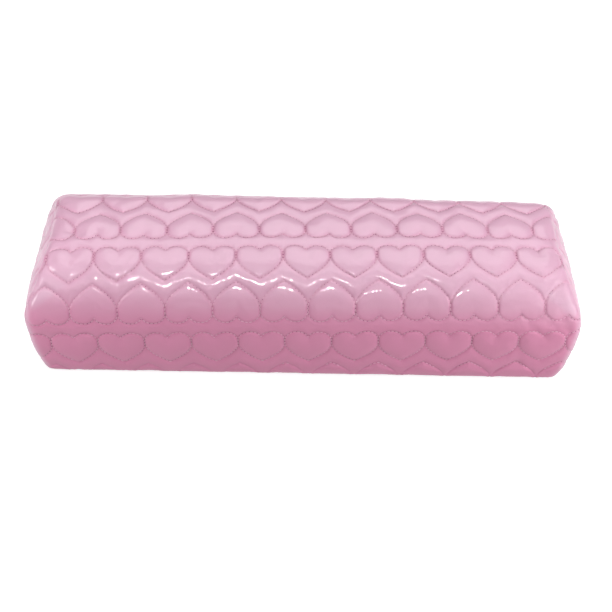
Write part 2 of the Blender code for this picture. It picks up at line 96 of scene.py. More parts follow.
class LoafSection:
    """Half of the section, from the middle of the crown to the seam under the base."""

    def __init__(self, inset=0.0, lift=0.0):
        outward = np.array([math.cos(SIDE_LEAN), -math.sin(SIDE_LEAN)])
        upward = np.array([math.sin(SIDE_LEAN), math.cos(SIDE_LEAN)])
        foot = np.array([BASE_WIDTH / 2, 0.0])
        self.crown_middle = np.array([0.0, BODY_HEIGHT - CROWN_RADIUS])
        start = foot - SHOULDER_RADIUS * outward - self.crown_middle
        along = start @ upward
        reach = CROWN_RADIUS - SHOULDER_RADIUS
        climb = -along + math.sqrt(along * along - start @ start + reach * reach)
        shoulder = start + climb * upward
        self.crown_radius = CROWN_RADIUS - inset
        self.crown_angle = math.atan2(shoulder[0], shoulder[1])
        self.shoulder_middle = shoulder + self.crown_middle
        self.shoulder_radius = SHOULDER_RADIUS - inset
        self.side_angle = QUARTER_TURN + SIDE_LEAN
        self.foot_radius = FOOT_RADIUS - lift
        side_foot = foot - inset * outward
        foot_z = lift + self.foot_radius
        rise = foot_z - side_foot[1]
        foot_y = side_foot[0] + (rise * math.sin(SIDE_LEAN) - self.foot_radius) / math.cos(SIDE_LEAN)
        self.foot_middle = np.array([foot_y, foot_z])
        self.side_top = self.shoulder_middle + self.shoulder_radius * outward
        self.side_end = self.foot_middle + self.foot_radius * outward
        self.under_start = np.array([foot_y, lift])
        self.runs = np.array([
            self.crown_radius * self.crown_angle,
            self.shoulder_radius * (self.side_angle - self.crown_angle),
            np.linalg.norm(self.side_top - self.side_end),
            self.foot_radius * (math.pi - self.side_angle),
            TURN_UNDER,
        ])

    def find(self, s):
        """The run that each distance s from the middle lies on, and the share of it passed."""
        ends = np.cumsum(self.runs)
        distance = np.minimum(np.abs(s), ends[-1])
        run = np.minimum(np.searchsorted(ends, distance), len(ends) - 1)
        return run, (distance - (ends - self.runs)[run]) / self.runs[run]

    def place(self, run, share):
        """Points (y, z) and outward normals for what find returned, on the back half."""
        angle = np.select(
            [run == 0, run == 1, run == 2, run == 3],
            [
                share * self.crown_angle,
                self.crown_angle + share * (self.side_angle - self.crown_angle),
                np.full(share.shape, self.side_angle),
                self.side_angle + share * (math.pi - self.side_angle),
            ],
            math.pi,
        )
        normal = np.stack([np.sin(angle), np.cos(angle)], axis=1)
        run = run[:, None]
        share = share[:, None]
        point = np.select(
            [run == 0, run == 1, run == 2, run == 3],
            [
                self.crown_middle + self.crown_radius * normal,
                self.shoulder_middle + self.shoulder_radius * normal,
                self.side_top + share * (self.side_end - self.side_top),
                self.foot_middle + self.foot_radius * normal,
            ],
            self.under_start - share * np.array([TURN_UNDER, 0.0]),
        )
        return point, normal


STITCHED = LoafSection()
HALF_GIRTH = STITCHED.runs.sum()
print("Half girth, mm:", round(1000 * HALF_GIRTH, 1), "in runs of", (1000 * STITCHED.runs).round(1))

# %% [markdown]
# ## From flat goods to the loaf
#
# A quilted cover starts as flat goods on a cutting table. Everything on it is drawn flat here
# too, as (u, s): u along the rest and s over it, from the front seam to the back one. One
# function then bends a flat point onto the loaf and over the round end edge, where the goods
# meet the end panel. The ends aren't straight cuts: the top and the foot are pulled in by
# the sewing, and the sides stand out like small ears. Long soft waves, a fifth of a
# millimetre high, stand for foam that was cut by hand, and keep the sheen from being ruled.

# %% Bend flat goods over the loaf
END_RADIUS = 0.0060
EAR_HEIGHT = 0.0400
EAR_SPREAD = 0.45
TOP_PULL_IN = 0.0098
FOOT_PULL_IN = 0.0068
END_SAG = 0.0025
WALL = 0.0015
SEAM_GAP = 0.0002
# Each wave: its length, its height and how far it turns with each metre up the section.
WAVES = ((0.093, 0.00022, 0.6), (0.057, 0.00016, -1.3), (0.038, 0.00010, 2.1))
WAVE_PHASE = 1.7


def end_reach(y, z):
    """How far from the middle an end stands at a point of its outline."""
    above = (z - EAR_HEIGHT) / (BODY_HEIGHT - EAR_HEIGHT)
    below = np.clip(1 - z / EAR_HEIGHT, 0.0, 1.0)
    ears = 1 - EAR_SPREAD * (2 * y / BASE_WIDTH) ** 2
    return BODY_LENGTH / 2 - TOP_PULL_IN * ease(above) * ears - FOOT_PULL_IN * below ** 2


def sag(points):
    """The soft block's top sinks a little towards its ends."""
    out = np.abs(points[:, 0]) / (BODY_LENGTH / 2)
    sagged = points.copy()
    sagged[:, 2] -= END_SAG * out ** 3 * points[:, 2] / BODY_HEIGHT
    sagged[:, 2] = np.maximum(sagged[:, 2], 0.0)
    return sagged


def soft_waves(points):
    """How far hand-cut foam makes each place of the cover swell or sink."""
    total = np.zeros(len(points))
    for length, height, turn in WAVES:
        phase = 2 * math.pi * (points[:, 0] + turn * (points[:, 1] + points[:, 2])) / length
        total += height * np.sin(phase + WAVE_PHASE * turn)
    return total * ease(points[:, 2] / EAR_HEIGHT)


def turn_start(s):
    """How far from the middle the goods begin to turn over the end."""
    point, _ = STITCHED.place(*STITCHED.find(s))
    return end_reach(point[:, 0], point[:, 1]) - END_RADIUS


def drape_on_loaf(flat, rise=0.0, depth=0.0):
    """Places on the loaf of flat points (u, s), and the directions out of the goods there."""
    u = np.abs(flat[:, 0])
    s = flat[:, 1]
    run, share = STITCHED.find(s)
    outer, normal = LoafSection(depth, depth).place(run, share)
    seam, _ = LoafSection(END_RADIUS, depth).place(run, share)
    start = turn_start(s)
    turn = np.clip((u - start) / END_RADIUS, 0.0, QUARTER_TURN)
    across = outer + (seam - outer) * (1 - np.cos(turn))[:, None]
    back = np.where(s < 0, -1.0, 1.0)
    right = np.where(flat[:, 0] < 0, -1.0, 1.0)
    before_turn = u / start * (end_reach(outer[:, 0], outer[:, 1]) - END_RADIUS)
    end_x = end_reach(across[:, 0], across[:, 1]) - depth
    in_turn = end_x - (END_RADIUS - depth) * (1 - np.sin(turn))
    x = np.where(turn > 0, in_turn, before_turn) * right
    points = np.stack([x, across[:, 0] * back, across[:, 1]], axis=1)
    out = np.stack([
        np.sin(turn) * right,
        normal[:, 0] * back * np.cos(turn),
        normal[:, 1] * np.cos(turn),
    ], axis=1)
    lift = np.reshape(rise, (-1, 1)) + soft_waves(points)[:, None]
    return sag(points + out * lift), out


reach_at_top = 1000 * turn_start(np.array([0.0]))[0]
print("Goods turn over the end", round(reach_at_top, 1), "mm from the middle, at the top")

# %% [markdown]
# ## The rows of hearts
#
# The quilting machine sews rows of hearts whose sides touch. Rows lie lobes to lobes, with a
# plain band between them, and then tips to tips, half a heart on, so that the tips mesh like
# teeth. A heart's half outline is a quadratic curve from the tip to the side, a short
# straight side, and a quarter of an ellipse up to the cusp. Drawing one heart by formula and
# repeating it keeps all rows in step. The goods were cut a touch askew, so that the rows
# climb by about two degrees, as they do on the real rest.

# %% Draw the hearts flat
HEART_WIDTH = 0.0254
HEART_TIP = 0.0155
HEART_LOBE = 0.0075
HEART_CUSP = 0.0037
HEART_SIDE = 0.0024
TIP_FULLNESS = 0.0070
LOBE_BAND = 0.0068
TIP_BAND = 0.0012
ROW_PERIOD = 2 * (HEART_TIP + HEART_LOBE) + TIP_BAND + LOBE_BAND
LOBE_STEP = 2 * HEART_LOBE + LOBE_BAND
END_ROW_HEIGHT = 0.0330
QUILT_TURN = math.radians(1.9)
LINE_STEP = 0.00145
CURVE_SAMPLES = 60


def walk(curve, step):
    """A polyline read again at even steps, both ends kept."""
    lengths = np.hypot(*np.diff(curve, axis=0).T)
    passed = np.concatenate([[0.0], np.cumsum(lengths)])
    marks = np.linspace(0.0, passed[-1], max(1, round(passed[-1] / step)) + 1)
    return np.stack([np.interp(marks, passed, curve[:, axis]) for axis in (0, 1)], axis=1)


def draw_heart(step):
    """A closed heart, tip down, with the line through its sides at height 0."""
    half = HEART_WIDTH / 2
    side = HEART_SIDE / 2
    t = np.linspace(0.0, 1.0, CURVE_SAMPLES)
    tip_x = half * (1 - (1 - t) ** 2)
    tip_y = -HEART_TIP * (1 - t) ** 2 - 2 * (side + TIP_FULLNESS) * t * (1 - t) - side * t * t
    lobe_height = HEART_LOBE - side
    lean = math.sqrt(1 - ((HEART_CUSP - side) / lobe_height) ** 2)
    lobe_middle = half * lean / (1 + lean)
    angle = np.linspace(0.0, math.acos(-lean), CURVE_SAMPLES)
    lobe_x = lobe_middle + (half - lobe_middle) * np.cos(angle)
    lobe_y = side + lobe_height * np.sin(angle)
    lobe_x[-1] = 0.0
    lower = walk(np.stack([tip_x, tip_y], axis=1), step)
    flank = walk(np.array([[half, -side], [half, side]]), step)
    lobe = walk(np.stack([lobe_x, lobe_y], axis=1), step)
    right = np.concatenate([lower, flank[1:], lobe[1:]])
    left = right[1:-1][::-1] * np.array([-1.0, 1.0])
    return np.concatenate([right, left])


def heart_places(low, high, first):
    """Middle and direction of every heart that may touch a flat rectangle."""
    reach = HEART_TIP + HEART_LOBE
    rows = math.ceil((max(abs(low[1] - first), abs(high[1] - first)) + reach) / ROW_PERIOD)
    columns = math.ceil(max(abs(low[0]), abs(high[0])) / HEART_WIDTH) + 1
    for row in range(-rows, rows + 1):
        tips_up = first + row * ROW_PERIOD
        for height, shift, direction in ((tips_up, 0.5, -1.0), (tips_up - LOBE_STEP, 0.0, 1.0)):
            for column in range(-columns, columns + 1):
                place = np.array([(column + shift) * HEART_WIDTH, height])
                beside = abs(place[0]) < max(abs(low[0]), abs(high[0])) + HEART_WIDTH / 2
                if beside and low[1] - reach < height < high[1] + reach:
                    yield place, np.array([1.0, direction])


def turned(flat, angle):
    """Flat points turned about the middle of the goods."""
    u = math.cos(angle) * flat[:, 0] - math.sin(angle) * flat[:, 1]
    s = math.sin(angle) * flat[:, 0] + math.cos(angle) * flat[:, 1]
    return np.stack([u, s], axis=1)


HEART = draw_heart(LINE_STEP)
print("A heart has", len(HEART), "points and its rows repeat every", round(1000 * ROW_PERIOD, 1), "mm")

# %% [markdown]
# ## Where a point lies between the stitches
#
# Both the puffs and the finish depend on two facts about a flat point: how far the nearest
# stitch line is, and whether the point is in a heart. Measuring against a hundred hearts
# would be slow. Because the pattern repeats, each point is first folded back into one
# repeat, where only five hearts can be the nearest.

# %% Measure the distance to the stitch lines
FOLDED_HEARTS = [
    np.array([side * HEART_WIDTH / 2, height]) + HEART * np.array([1.0, -1.0])
    for height in (0.0, ROW_PERIOD) for side in (-1, 1)
]
FOLDED_HEARTS.append(np.array([0.0, ROW_PERIOD - LOBE_STEP]) + HEART)


def is_inside(points, loop):
    """Whether each point lies inside a closed loop."""
    inside = np.zeros(len(points), dtype=bool)
    for a, b in zip(loop, np.roll(loop, -1, axis=0)):
        crosses = (a[1] > points[:, 1]) != (b[1] > points[:, 1])
        climb = b[1] - a[1] if b[1] != a[1] else 1.0
        inside ^= crosses & (points[:, 0] < a[0] + (points[:, 1] - a[1]) * (b[0] - a[0]) / climb)
    return inside


def distance_to(points, loop):
    """The distance from each point to a closed loop."""
    nearest = np.full(len(points), np.inf)
    for a, b in zip(loop, np.roll(loop, -1, axis=0)):
        run = b - a
        share = np.clip((points - a) @ run / (run @ run), 0.0, 1.0)
        offset = points - a - share[:, None] * run
        nearest = np.minimum(nearest, np.hypot(offset[:, 0], offset[:, 1]))
    return nearest


def read_quilting(flat, first):
    """The distance of each point to the nearest stitch line, and whether it is in a heart."""
    half = HEART_WIDTH / 2
    folded = np.stack([
        (flat[:, 0] + half) % HEART_WIDTH - half,
        (flat[:, 1] - first) % ROW_PERIOD,
    ], axis=1)
    nearest = np.full(len(flat), np.inf)
    in_heart = np.zeros(len(flat), dtype=bool)
    for loop in FOLDED_HEARTS:
        nearest = np.minimum(nearest, distance_to(folded, loop))
        in_heart |= is_inside(folded, loop)
    return nearest, in_heart


_, heart_check = read_quilting(np.array([[0.0, -LOBE_STEP], [0.0, 0.0]]), 0.0)
print("A heart's middle is in a heart:", bool(heart_check[0]))
print("The join of two hearts is in a heart:", bool(heart_check[1]))

# %% [markdown]
# ## Cut the goods into faces
#
# Cloth bends well only where its mesh has edges along the folds. A constrained Delaunay
# triangulation takes the stitch lines and the border as edges that must stay, and fills in
# the rest. Points close beside each line carry the steep flank of a puff, and a coarser
# lattice carries its gentle middle. A voxel remesh, often used on cushions, would melt
# stitch lines this fine.

# %% Cut flat goods along their stitch lines
FLANK_OFFSET = 0.0010
FLANK_CLEARANCE = 0.0008
LATTICE_STEP = 0.0027
LATTICE_CLEARANCE = 0.0019
BORDER_CLEARANCE = 0.0010
CUT_TOLERANCE = 1e-6


def search_tree(points):
    """A tree that finds the nearest of some flat points quickly."""
    tree = kdtree.KDTree(len(points))
    for number, point in enumerate(points):
        tree.insert((point[0], point[1], 0.0), number)
    tree.balance()
    return tree


def thin_out(points, spacing):
    """The same points without those that crowd an earlier one."""
    tree = search_tree(points)
    kept = np.ones(len(points), dtype=bool)
    for number, point in enumerate(points):
        if kept[number]:
            for _, other, _ in tree.find_range((point[0], point[1], 0.0), spacing):
                if other > number:
                    kept[other] = False
    return points[kept]


def flank_points(loops):
    """Points a short way to both sides of the stitch lines."""
    found = []
    for loop in loops:
        run = np.roll(loop, -1, axis=0) - np.roll(loop, 1, axis=0)
        aside = np.stack([run[:, 1], -run[:, 0]], axis=1) / np.hypot(run[:, 0], run[:, 1])[:, None]
        found += [loop + FLANK_OFFSET * aside, loop - FLANK_OFFSET * aside]
    return np.concatenate(found)


def lattice_points(low, high, step):
    """A staggered lattice over a flat rectangle."""
    row_step = step * math.sqrt(3) / 2
    points = []
    for row in range(math.ceil((high[1] - low[1]) / row_step) + 1):
        start = low[0] + 0.5 * step * (row % 2)
        line = np.arange(start, high[0], step)
        points.append(np.stack([line, np.full(line.shape, low[1] + row * row_step)], axis=1))
    return np.concatenate(points)


def triangulate(points, border_count, edges=()):
    """Flat points, the triangles inside the first ones' border, and which given points each is."""
    border = list(range(border_count))
    flat, _, faces, sources, _, owners = geometry.delaunay_2d_cdt(
        [Vector(point) for point in points], list(edges), [border], 0, CUT_TOLERANCE)
    inside = [tuple(face) for face, owner in zip(faces, owners) if owner]
    return np.array([point[:] for point in flat]), inside, sources


def cut_goods(outline, first):
    """Flat points and triangles of a quilted panel inside an outline against the clock."""
    low = outline.min(axis=0)
    high = outline.max(axis=0)
    loops = [place + HEART * direction for place, direction in heart_places(low, high, first)]
    flanks = flank_points(loops)
    flanks = flanks[read_quilting(flanks, first)[0] > FLANK_CLEARANCE]
    lattice = lattice_points(low, high, LATTICE_STEP)
    lattice = lattice[read_quilting(lattice, first)[0] > LATTICE_CLEARANCE]
    between = thin_out(np.concatenate([flanks, lattice]), FLANK_CLEARANCE)
    between = between[is_inside(between, outline) & (distance_to(between, outline) > BORDER_CLEARANCE)]
    points = np.concatenate([outline] + loops + [between])
    edges = []
    start = len(outline)
    for loop in loops:
        numbers = list(range(start, start + len(loop)))
        edges += list(zip(numbers, numbers[1:] + numbers[:1]))
        start += len(loop)
    flat, faces, _ = triangulate(points, len(outline), edges)
    used = sorted({number for face in faces for number in face})
    renumber = {old: new for new, old in enumerate(used)}
    return flat[used], [tuple(renumber[number] for number in face) for face in faces]


def border_walk(faces):
    """The open border of a sheet of faces, vertex by vertex in the faces' own direction."""
    after = {}
    for face in faces:
        for a, b in zip(face, face[1:] + face[:1]):
            after[(a, b)] = True
    follows = {a: b for a, b in after if (b, a) not in after}
    start = min(follows)
    walked = [start]
    while follows[walked[-1]] != start:
        walked.append(follows[walked[-1]])
    return walked


# %% [markdown]
# ## Fill the puffs with a cloth simulation
#
# Real puffs form because the thin wadding behind the face pushes it out while the stitches
# hold it down. Blender's Cloth does the same: stitch lines and seams are pinned, pressure
# pushes the rest out, and a little spare cloth lets it crease by itself. Wadding also sets
# how high a puff can get: a narrow pucker beside the stitches under a low dome, which
# pressure alone doesn't give. So the simulated height is kept close to that profile.

# %% Puff the goods out
HEART_RISE = 0.0013
BAND_RISE = 0.0009
PUFF_REACH = 0.0080
PUCKER_REACH = 0.0013
PUCKER_SHARE = 0.35
FOOT_FADE = 0.0100
LOWEST_SHARE = 0.80
HIGHEST_SHARE = 1.12
SLIP_LIMIT = 0.0005
CLOTH_FRAMES = 20
CLOTH_PRESSURE = 3000.0
CLOTH_SPARE = -0.03
CLOTH_POINT_MASS = 0.0002
CLOTH_QUALITY = 5
CLOTH_STIFFNESS = {"tension": 15.0, "compression": 15.0, "shear": 5.0, "bending": 0.5}


def puff_profile(distance, in_heart):
    """How high the wadding pushes the face: a narrow pucker at the stitches under a low dome."""
    pucker = 1 - (1 - np.clip(distance / PUCKER_REACH, 0.0, 1.0)) ** 2
    dome = 1 - (1 - np.clip(distance / PUFF_REACH, 0.0, 1.0)) ** 2
    share = PUCKER_SHARE * pucker + (1 - PUCKER_SHARE) * dome
    return np.where(in_heart, HEART_RISE, BAND_RISE) * share


def add_object(name, data):
    """A new object in the scene for a mesh, a lamp or a camera."""
    item = bpy.data.objects.new(name, data)
    bpy.context.scene.collection.objects.link(item)
    return item


def simulate_filling(name, places, faces, pinned):
    """Places of the same vertices after the filling has pushed the free ones out."""
    scene = bpy.context.scene
    mesh = bpy.data.meshes.new(name)
    mesh.from_pydata(places.tolist(), [], faces)
    goods = add_object(name, mesh)
    held = goods.vertex_groups.new(name="stitched down")
    held.add(np.flatnonzero(pinned).tolist(), 1.0, "REPLACE")
    cloth = goods.modifiers.new("filling", "CLOTH")
    cloth.settings.vertex_group_mass = held.name
    cloth.settings.mass = CLOTH_POINT_MASS
    cloth.settings.quality = CLOTH_QUALITY
    for kind, stiffness in CLOTH_STIFFNESS.items():
        setattr(cloth.settings, kind + "_stiffness", stiffness)
    cloth.settings.shrink_min = CLOTH_SPARE
    cloth.settings.use_pressure = True
    cloth.settings.uniform_pressure_force = CLOTH_PRESSURE
    cloth.settings.effector_weights.gravity = 0.0
    cloth.point_cache.frame_start = 1
    cloth.point_cache.frame_end = CLOTH_FRAMES
    for number in range(1, CLOTH_FRAMES + 1):
        scene.frame_set(number)
    shaped = goods.evaluated_get(bpy.context.evaluated_depsgraph_get())
    result = np.empty(len(places) * 3)
    shaped.data.vertices.foreach_get("co", result)
    bpy.data.objects.remove(goods, do_unlink=True)
    scene.frame_set(1)
    return result.reshape(-1, 3)


def fill_goods(name, places, out, faces, pinned):
    """How far the filling pushes each point out, and how far it slips along the goods."""
    moved = simulate_filling(name, places, faces, pinned) - places
    risen = (moved * out).sum(axis=1)
    slip = moved - risen[:, None] * out
    length = np.linalg.norm(slip, axis=1) + CUT_TOLERANCE
    return risen, slip * (np.minimum(length, SLIP_LIMIT) / length)[:, None]


# %% [markdown]
# ## Round the goods
#
# The simulated sheet is still coarse. A Subdivision Surface rounds it, and edges along the
# stitches keep a crease so that the valleys stay sharp. Each point carries its flat place
# through the subdivision as an attribute, because the later steps are measured on the flat
# goods. The result is read back as plain points and faces, so that no modifier stays.

# %% Round a sheet
LINE_CREASE = 0.75


def round_off(name, points, flat, faces, creased):
    """The sheet after one level of subdivision: its points, their flat places and its faces."""
    mesh = bpy.data.meshes.new(name)
    mesh.from_pydata(points.tolist(), [], faces)
    place = mesh.attributes.new("flat_place", "FLOAT2", "POINT")
    place.data.foreach_set("vector", flat.astype(np.float32).ravel())
    ends = np.empty(len(mesh.edges) * 2, dtype=np.int32)
    mesh.edges.foreach_get("vertices", ends)
    ends = ends.reshape(-1, 2)
    middles = (flat[ends[:, 0]] + flat[ends[:, 1]]) / 2
    on_line = creased(middles) & creased(flat[ends[:, 0]]) & creased(flat[ends[:, 1]])
    crease = mesh.attributes.new("crease_edge", "FLOAT", "EDGE")
    crease.data.foreach_set("value", np.where(on_line, LINE_CREASE, 0.0).astype(np.float32))
    sheet = add_object(name, mesh)
    rounding = sheet.modifiers.new("rounding", "SUBSURF")
    rounding.levels = 1
    rounding.render_levels = 1
    shaped = sheet.evaluated_get(bpy.context.evaluated_depsgraph_get()).data
    fine = np.empty(len(shaped.vertices) * 3)
    shaped.vertices.foreach_get("co", fine)
    fine_flat = np.empty(len(shaped.vertices) * 2, dtype=np.float32)
    shaped.attributes["flat_place"].data.foreach_get("vector", fine_flat)
    fine_faces = [tuple(face.vertices) for face in shaped.polygons]
    bpy.data.objects.remove(sheet, do_unlink=True)
    return fine.reshape(-1, 3), fine_flat.reshape(-1, 2).astype(float), fine_faces


# %% [markdown]
# ## Needle holes, and where the colour changes
#
# Every stitch pulls the goods down at both its ends, so small dents are pressed in halfway
# between the beads of thread. Two facts about each point are kept for the material as well:
# how near the stitches it is, where painted shade makes the colour deeper, and how far it is
# turned up or out or stretched over a corner, where a painted sheen makes it paler. They could
# be painted on as pictures, but as attributes they need no image and stay exact at any distance.

# %% Press the needle holes in and measure where the colour changes
STITCH_PITCH = 0.0022
HOLE_DEPTH = 0.00032
HOLE_WIDTH = 0.0005
JOIN_WIDTH = 0.0011
JOIN_HEIGHT = 0.0038
FULLY_TURNED = 0.92
CORNER_SLOPE = 0.6
CORNER_LIFT = 0.0060
CORNER_SOFTNESS = 0.0100


def needle_holes(loops):
    """Flat places halfway between the stitches of each loop."""
    holes = []
    for loop in loops:
        closed = np.concatenate([loop, loop[:1]])
        holes.append(walk(closed, STITCH_PITCH / 2)[1::2])
    return np.concatenate(holes)


def hole_press(flat, holes):
    """How deep the needle holes press each point in."""
    tree = search_tree(holes)
    away = np.array([tree.find((point[0], point[1], 0.0))[2] for point in flat])
    return HOLE_DEPTH * np.exp(-(away / HOLE_WIDTH) ** 2)


def join_closeness(flat, first):
    """How much painted shade darkens a join: 1 where two hearts touch, falling to 0 a few millimetres
    away.
    """
    half = HEART_WIDTH / 2
    closeness = np.zeros(len(flat))
    for height, shift in ((0.0, 0.0), (-LOBE_STEP, half)):
        across = (flat[:, 0] + shift + half) % HEART_WIDTH - half
        up = (flat[:, 1] - first - height + ROW_PERIOD / 2) % ROW_PERIOD - ROW_PERIOD / 2
        closeness += np.exp(-(across / JOIN_WIDTH) ** 2 - (up / JOIN_HEIGHT) ** 2)
    return closeness


# Painted sheen: paler where the goods face up or out over the ends, standing in for the sheen of light
# there.
def painted_sheen_share(places, out):
    """How much painted sheen pales the coating: full on the top, the ends and the stretched upper
    corners.
    """
    from_end = end_reach(places[:, 1], places[:, 2]) - END_RADIUS - np.abs(places[:, 0])
    corner_line = EAR_HEIGHT + CORNER_LIFT + CORNER_SLOPE * np.maximum(from_end, 0.0)
    corner = ease((places[:, 2] - corner_line) / CORNER_SOFTNESS + 0.5)
    turned_up = ease(np.maximum(out[:, 2], np.abs(out[:, 0])) / FULLY_TURNED)
    return np.maximum(turned_up, corner)


# %% [markdown]
# ## Close a panel and put the steps together
#
# Goods have a thickness, and an open sheet isn't a solid. A Solidify modifier would copy every
# puff to the inside, so a plain inner face is laid at the wall's depth instead and joined to
# the outer one by a rim. The last function runs all the steps on one panel, from the flat
# outline to the finished piece: cut, lay on the loaf, fill, round, dimple, close and mark.

# %% Make a quilted panel
SEAM_DIP = 0.0005
SEAM_DIP_WIDTH = 0.0030
BACK_STEP = 0.0080
ON_LINE = 1e-5
SHADE_WIDTH = 0.0009
LINE_SHADE = 0.4
HEART_MIDDLE = 0.8


def close_panel(name, points, flat, faces, drape):
    """A closed mesh: the panel's face, a plain back at its wall's depth and a rim between them."""
    border = border_walk(faces)
    edge = flat[border]
    lattice = lattice_points(edge.min(axis=0), edge.max(axis=0), BACK_STEP)
    lattice = lattice[is_inside(lattice, edge) & (distance_to(lattice, edge) > BACK_STEP / 4)]
    back_flat, back_faces, sources = triangulate(np.concatenate([edge, lattice]), len(edge))
    number_of = {source: number for number, merged in enumerate(sources) for source in merged}
    back, _ = drape(back_flat, 0.0, WALL)
    count = len(points)
    closed = list(faces)
    closed += [tuple(number + count for number in reversed(face)) for face in back_faces]
    for place, here in enumerate(border):
        ahead = (place + 1) % len(border)
        closed.append((border[ahead], here, number_of[place] + count, number_of[ahead] + count))
    mesh = bpy.data.meshes.new(name)
    mesh.from_pydata(np.concatenate([points, back]).tolist(), [], closed)
    mesh.shade_smooth()
    return mesh


def mark_face(mesh, label, values):
    """Keeps a value for each point of the panel's face as an attribute, and 0 for its back."""
    full = np.zeros(len(mesh.vertices), dtype=np.float32)
    full[:len(values)] = values
    mesh.attributes.new(label, "FLOAT", "POINT").data.foreach_set("value", full)


def make_quilted_panel(name, outline, first, drape):
    """One quilted panel, from flat goods to a closed, puffed and dimpled piece."""
    flat, faces = cut_goods(outline, first)
    near, in_heart = read_quilting(flat, first)
    from_seam = distance_to(flat, outline)
    places, out = drape(flat, 0.0, 0.0)
    foot = ease(places[:, 2] / FOOT_FADE)
    height = puff_profile(np.minimum(near, from_seam), in_heart) * foot
    slip = np.zeros(places.shape)
    pinned = (near < ON_LINE) | (from_seam < ON_LINE)
    risen, slip = fill_goods(name + "_goods", places, out, faces, pinned)
    middle = in_heart & (near > HEART_MIDDLE * PUFF_REACH)
    print(name, "hearts rose, mm:", (1000 * np.percentile(risen[middle], [5, 50, 95])).round(2))
    height = np.clip(risen, LOWEST_SHARE * height, HIGHEST_SHARE * height)
    dip = SEAM_DIP * np.clip(1 - from_seam / SEAM_DIP_WIDTH, 0.0, 1.0) ** 2
    points = drape(flat, height - dip, 0.0)[0] + slip
    points[:, 2] = np.maximum(points[:, 2], 0.0)

    def is_on_line(spots):
        """Whether flat spots lie on a stitch line."""
        return read_quilting(spots, first)[0] < ON_LINE

    points, flat, faces = round_off(name, points, flat, faces, is_on_line)
    hearts = heart_places(outline.min(axis=0), outline.max(axis=0), first)
    loops = [place + HEART * way for place, way in hearts]
    places, out = drape(flat, 0.0, 0.0)
    points -= hole_press(flat, needle_holes(loops))[:, None] * out
    points[:, 2] = np.maximum(points[:, 2], 0.0)
    mesh = close_panel(name, points, flat, faces, drape)
    # Painted shade: the colour deepens close to the stitch lines, and most where two hearts touch.
    line_shade = LINE_SHADE * np.exp(-read_quilting(flat, first)[0] / SHADE_WIDTH)
    mark_face(mesh, "painted_stitch_shade", np.maximum(line_shade, join_closeness(flat, first)))
    # Painted sheen: the top, the ends and the upper corners are marked to be paler.
    mark_face(mesh, "painted_sheen_share", painted_sheen_share(places, out))
    panel = add_object(name, mesh)
    print(name, "has", sum(len(face.vertices) - 2 for face in mesh.polygons), "triangles")
    return panel


# %% [markdown]
# ## The wrap: one length over the front, the top and the back
#
# On the bench this is the largest piece: a strip of quilted goods that starts under the
# front edge, runs over the top and ends under the back edge, with both sides turned over
# the ends. Its outline is drawn by stations along those edges. The pattern's own frame is
# turned against the loaf's, so the outline is turned into it before the goods are cut. Where
# the goods turn over the ends they bunch up, so each fold that the photo shows is a line
# with a width and a depth, and a few more stand for those at the back.

# %% Make the wrap
SEAM_STEP = 0.0016
FOLD_TAPER = 1.5
# Each fold: its two ends (u, s) on the loaf, its width and its depth, below zero for a ridge.
FOLDS = (
    ((-0.1396, -0.0016), (-0.1207, -0.0075), 0.0022, 0.0006),
    ((-0.1308, -0.0305), (-0.1170, -0.0323), 0.0022, 0.0006),
    ((-0.1370, -0.0170), (-0.1240, -0.0200), 0.0018, 0.0004),
    ((-0.1430, -0.0142), (-0.1465, -0.0454), 0.0018, 0.0006),
    ((-0.1385, -0.0142), (-0.1425, -0.0454), 0.0022, -0.0005),
    ((0.1323, -0.0062), (0.1400, -0.0040), 0.0014, 0.0004),
    ((0.1335, -0.0150), (0.1415, -0.0140), 0.0014, 0.0004),
    ((0.1345, -0.0225), (0.1425, -0.0235), 0.0014, 0.0004),
    ((0.1350, -0.0293), (0.1435, -0.0320), 0.0014, 0.0004),
    ((0.1186, -0.0584), (0.1366, -0.0720), 0.0020, 0.0007),
    ((0.1250, -0.0550), (0.1420, -0.0640), 0.0016, 0.0004),
    ((0.1161, -0.0727), (0.1207, -0.0973), 0.0020, 0.0006),
    ((0.1363, -0.0495), (0.1474, -0.0740), 0.0020, 0.0007),
    ((0.1300, 0.0400), (0.1420, 0.0450), 0.0018, 0.0005),
    ((-0.1400, 0.0600), (-0.1240, 0.0660), 0.0020, 0.0006),
    ((0.1220, 0.0790), (0.1400, 0.0730), 0.0020, 0.0006),
    ((-0.1380, 0.0230), (-0.1260, 0.0250), 0.0016, 0.0004),
)


def along(marks, step):
    """Values through the marks, with each stretch cut evenly to about the step."""
    parts = [np.array([marks[0]])]
    for a, b in zip(marks, marks[1:]):
        parts.append(np.linspace(a, b, max(1, round(abs(b - a) / step)) + 1)[1:])
    return np.concatenate(parts)


def wrap_edge_point(t, s):
    """Flat points: t is 1 where the goods begin to turn over the end and 2 at the end seam."""
    start = turn_start(s)
    turn = END_RADIUS * QUARTER_TURN
    length = np.minimum(np.abs(t), 1.0) * start + np.clip(np.abs(t) - 1, 0, 1) * turn
    return np.stack([np.sign(t) * length, s], axis=1)


def fold_depth(flat):
    """How deep the folds near the ends lie at flat points of the loaf."""
    depth = np.zeros(len(flat))
    for start, stop, width, height in FOLDS:
        run = np.array(stop) - np.array(start)
        share = (flat - np.array(start)) @ run / (run @ run)
        away = np.hypot(*(flat - np.array(start) - np.clip(share, 0.0, 1.0)[:, None] * run).T)
        taper = ease(FOLD_TAPER - np.abs(share - 0.5) * 2)
        depth += height * taper * np.exp(-(away / width) ** 2)
    return depth


def drape_wrap(flat, rise, depth):
    """Lays the wrap's flat goods on the loaf, a touch askew and with its folds."""
    on_loaf = turned(flat, QUILT_TURN)
    folds = fold_depth(on_loaf) if np.all(depth == 0.0) else 0.0
    return drape_on_loaf(on_loaf, rise - folds, depth)


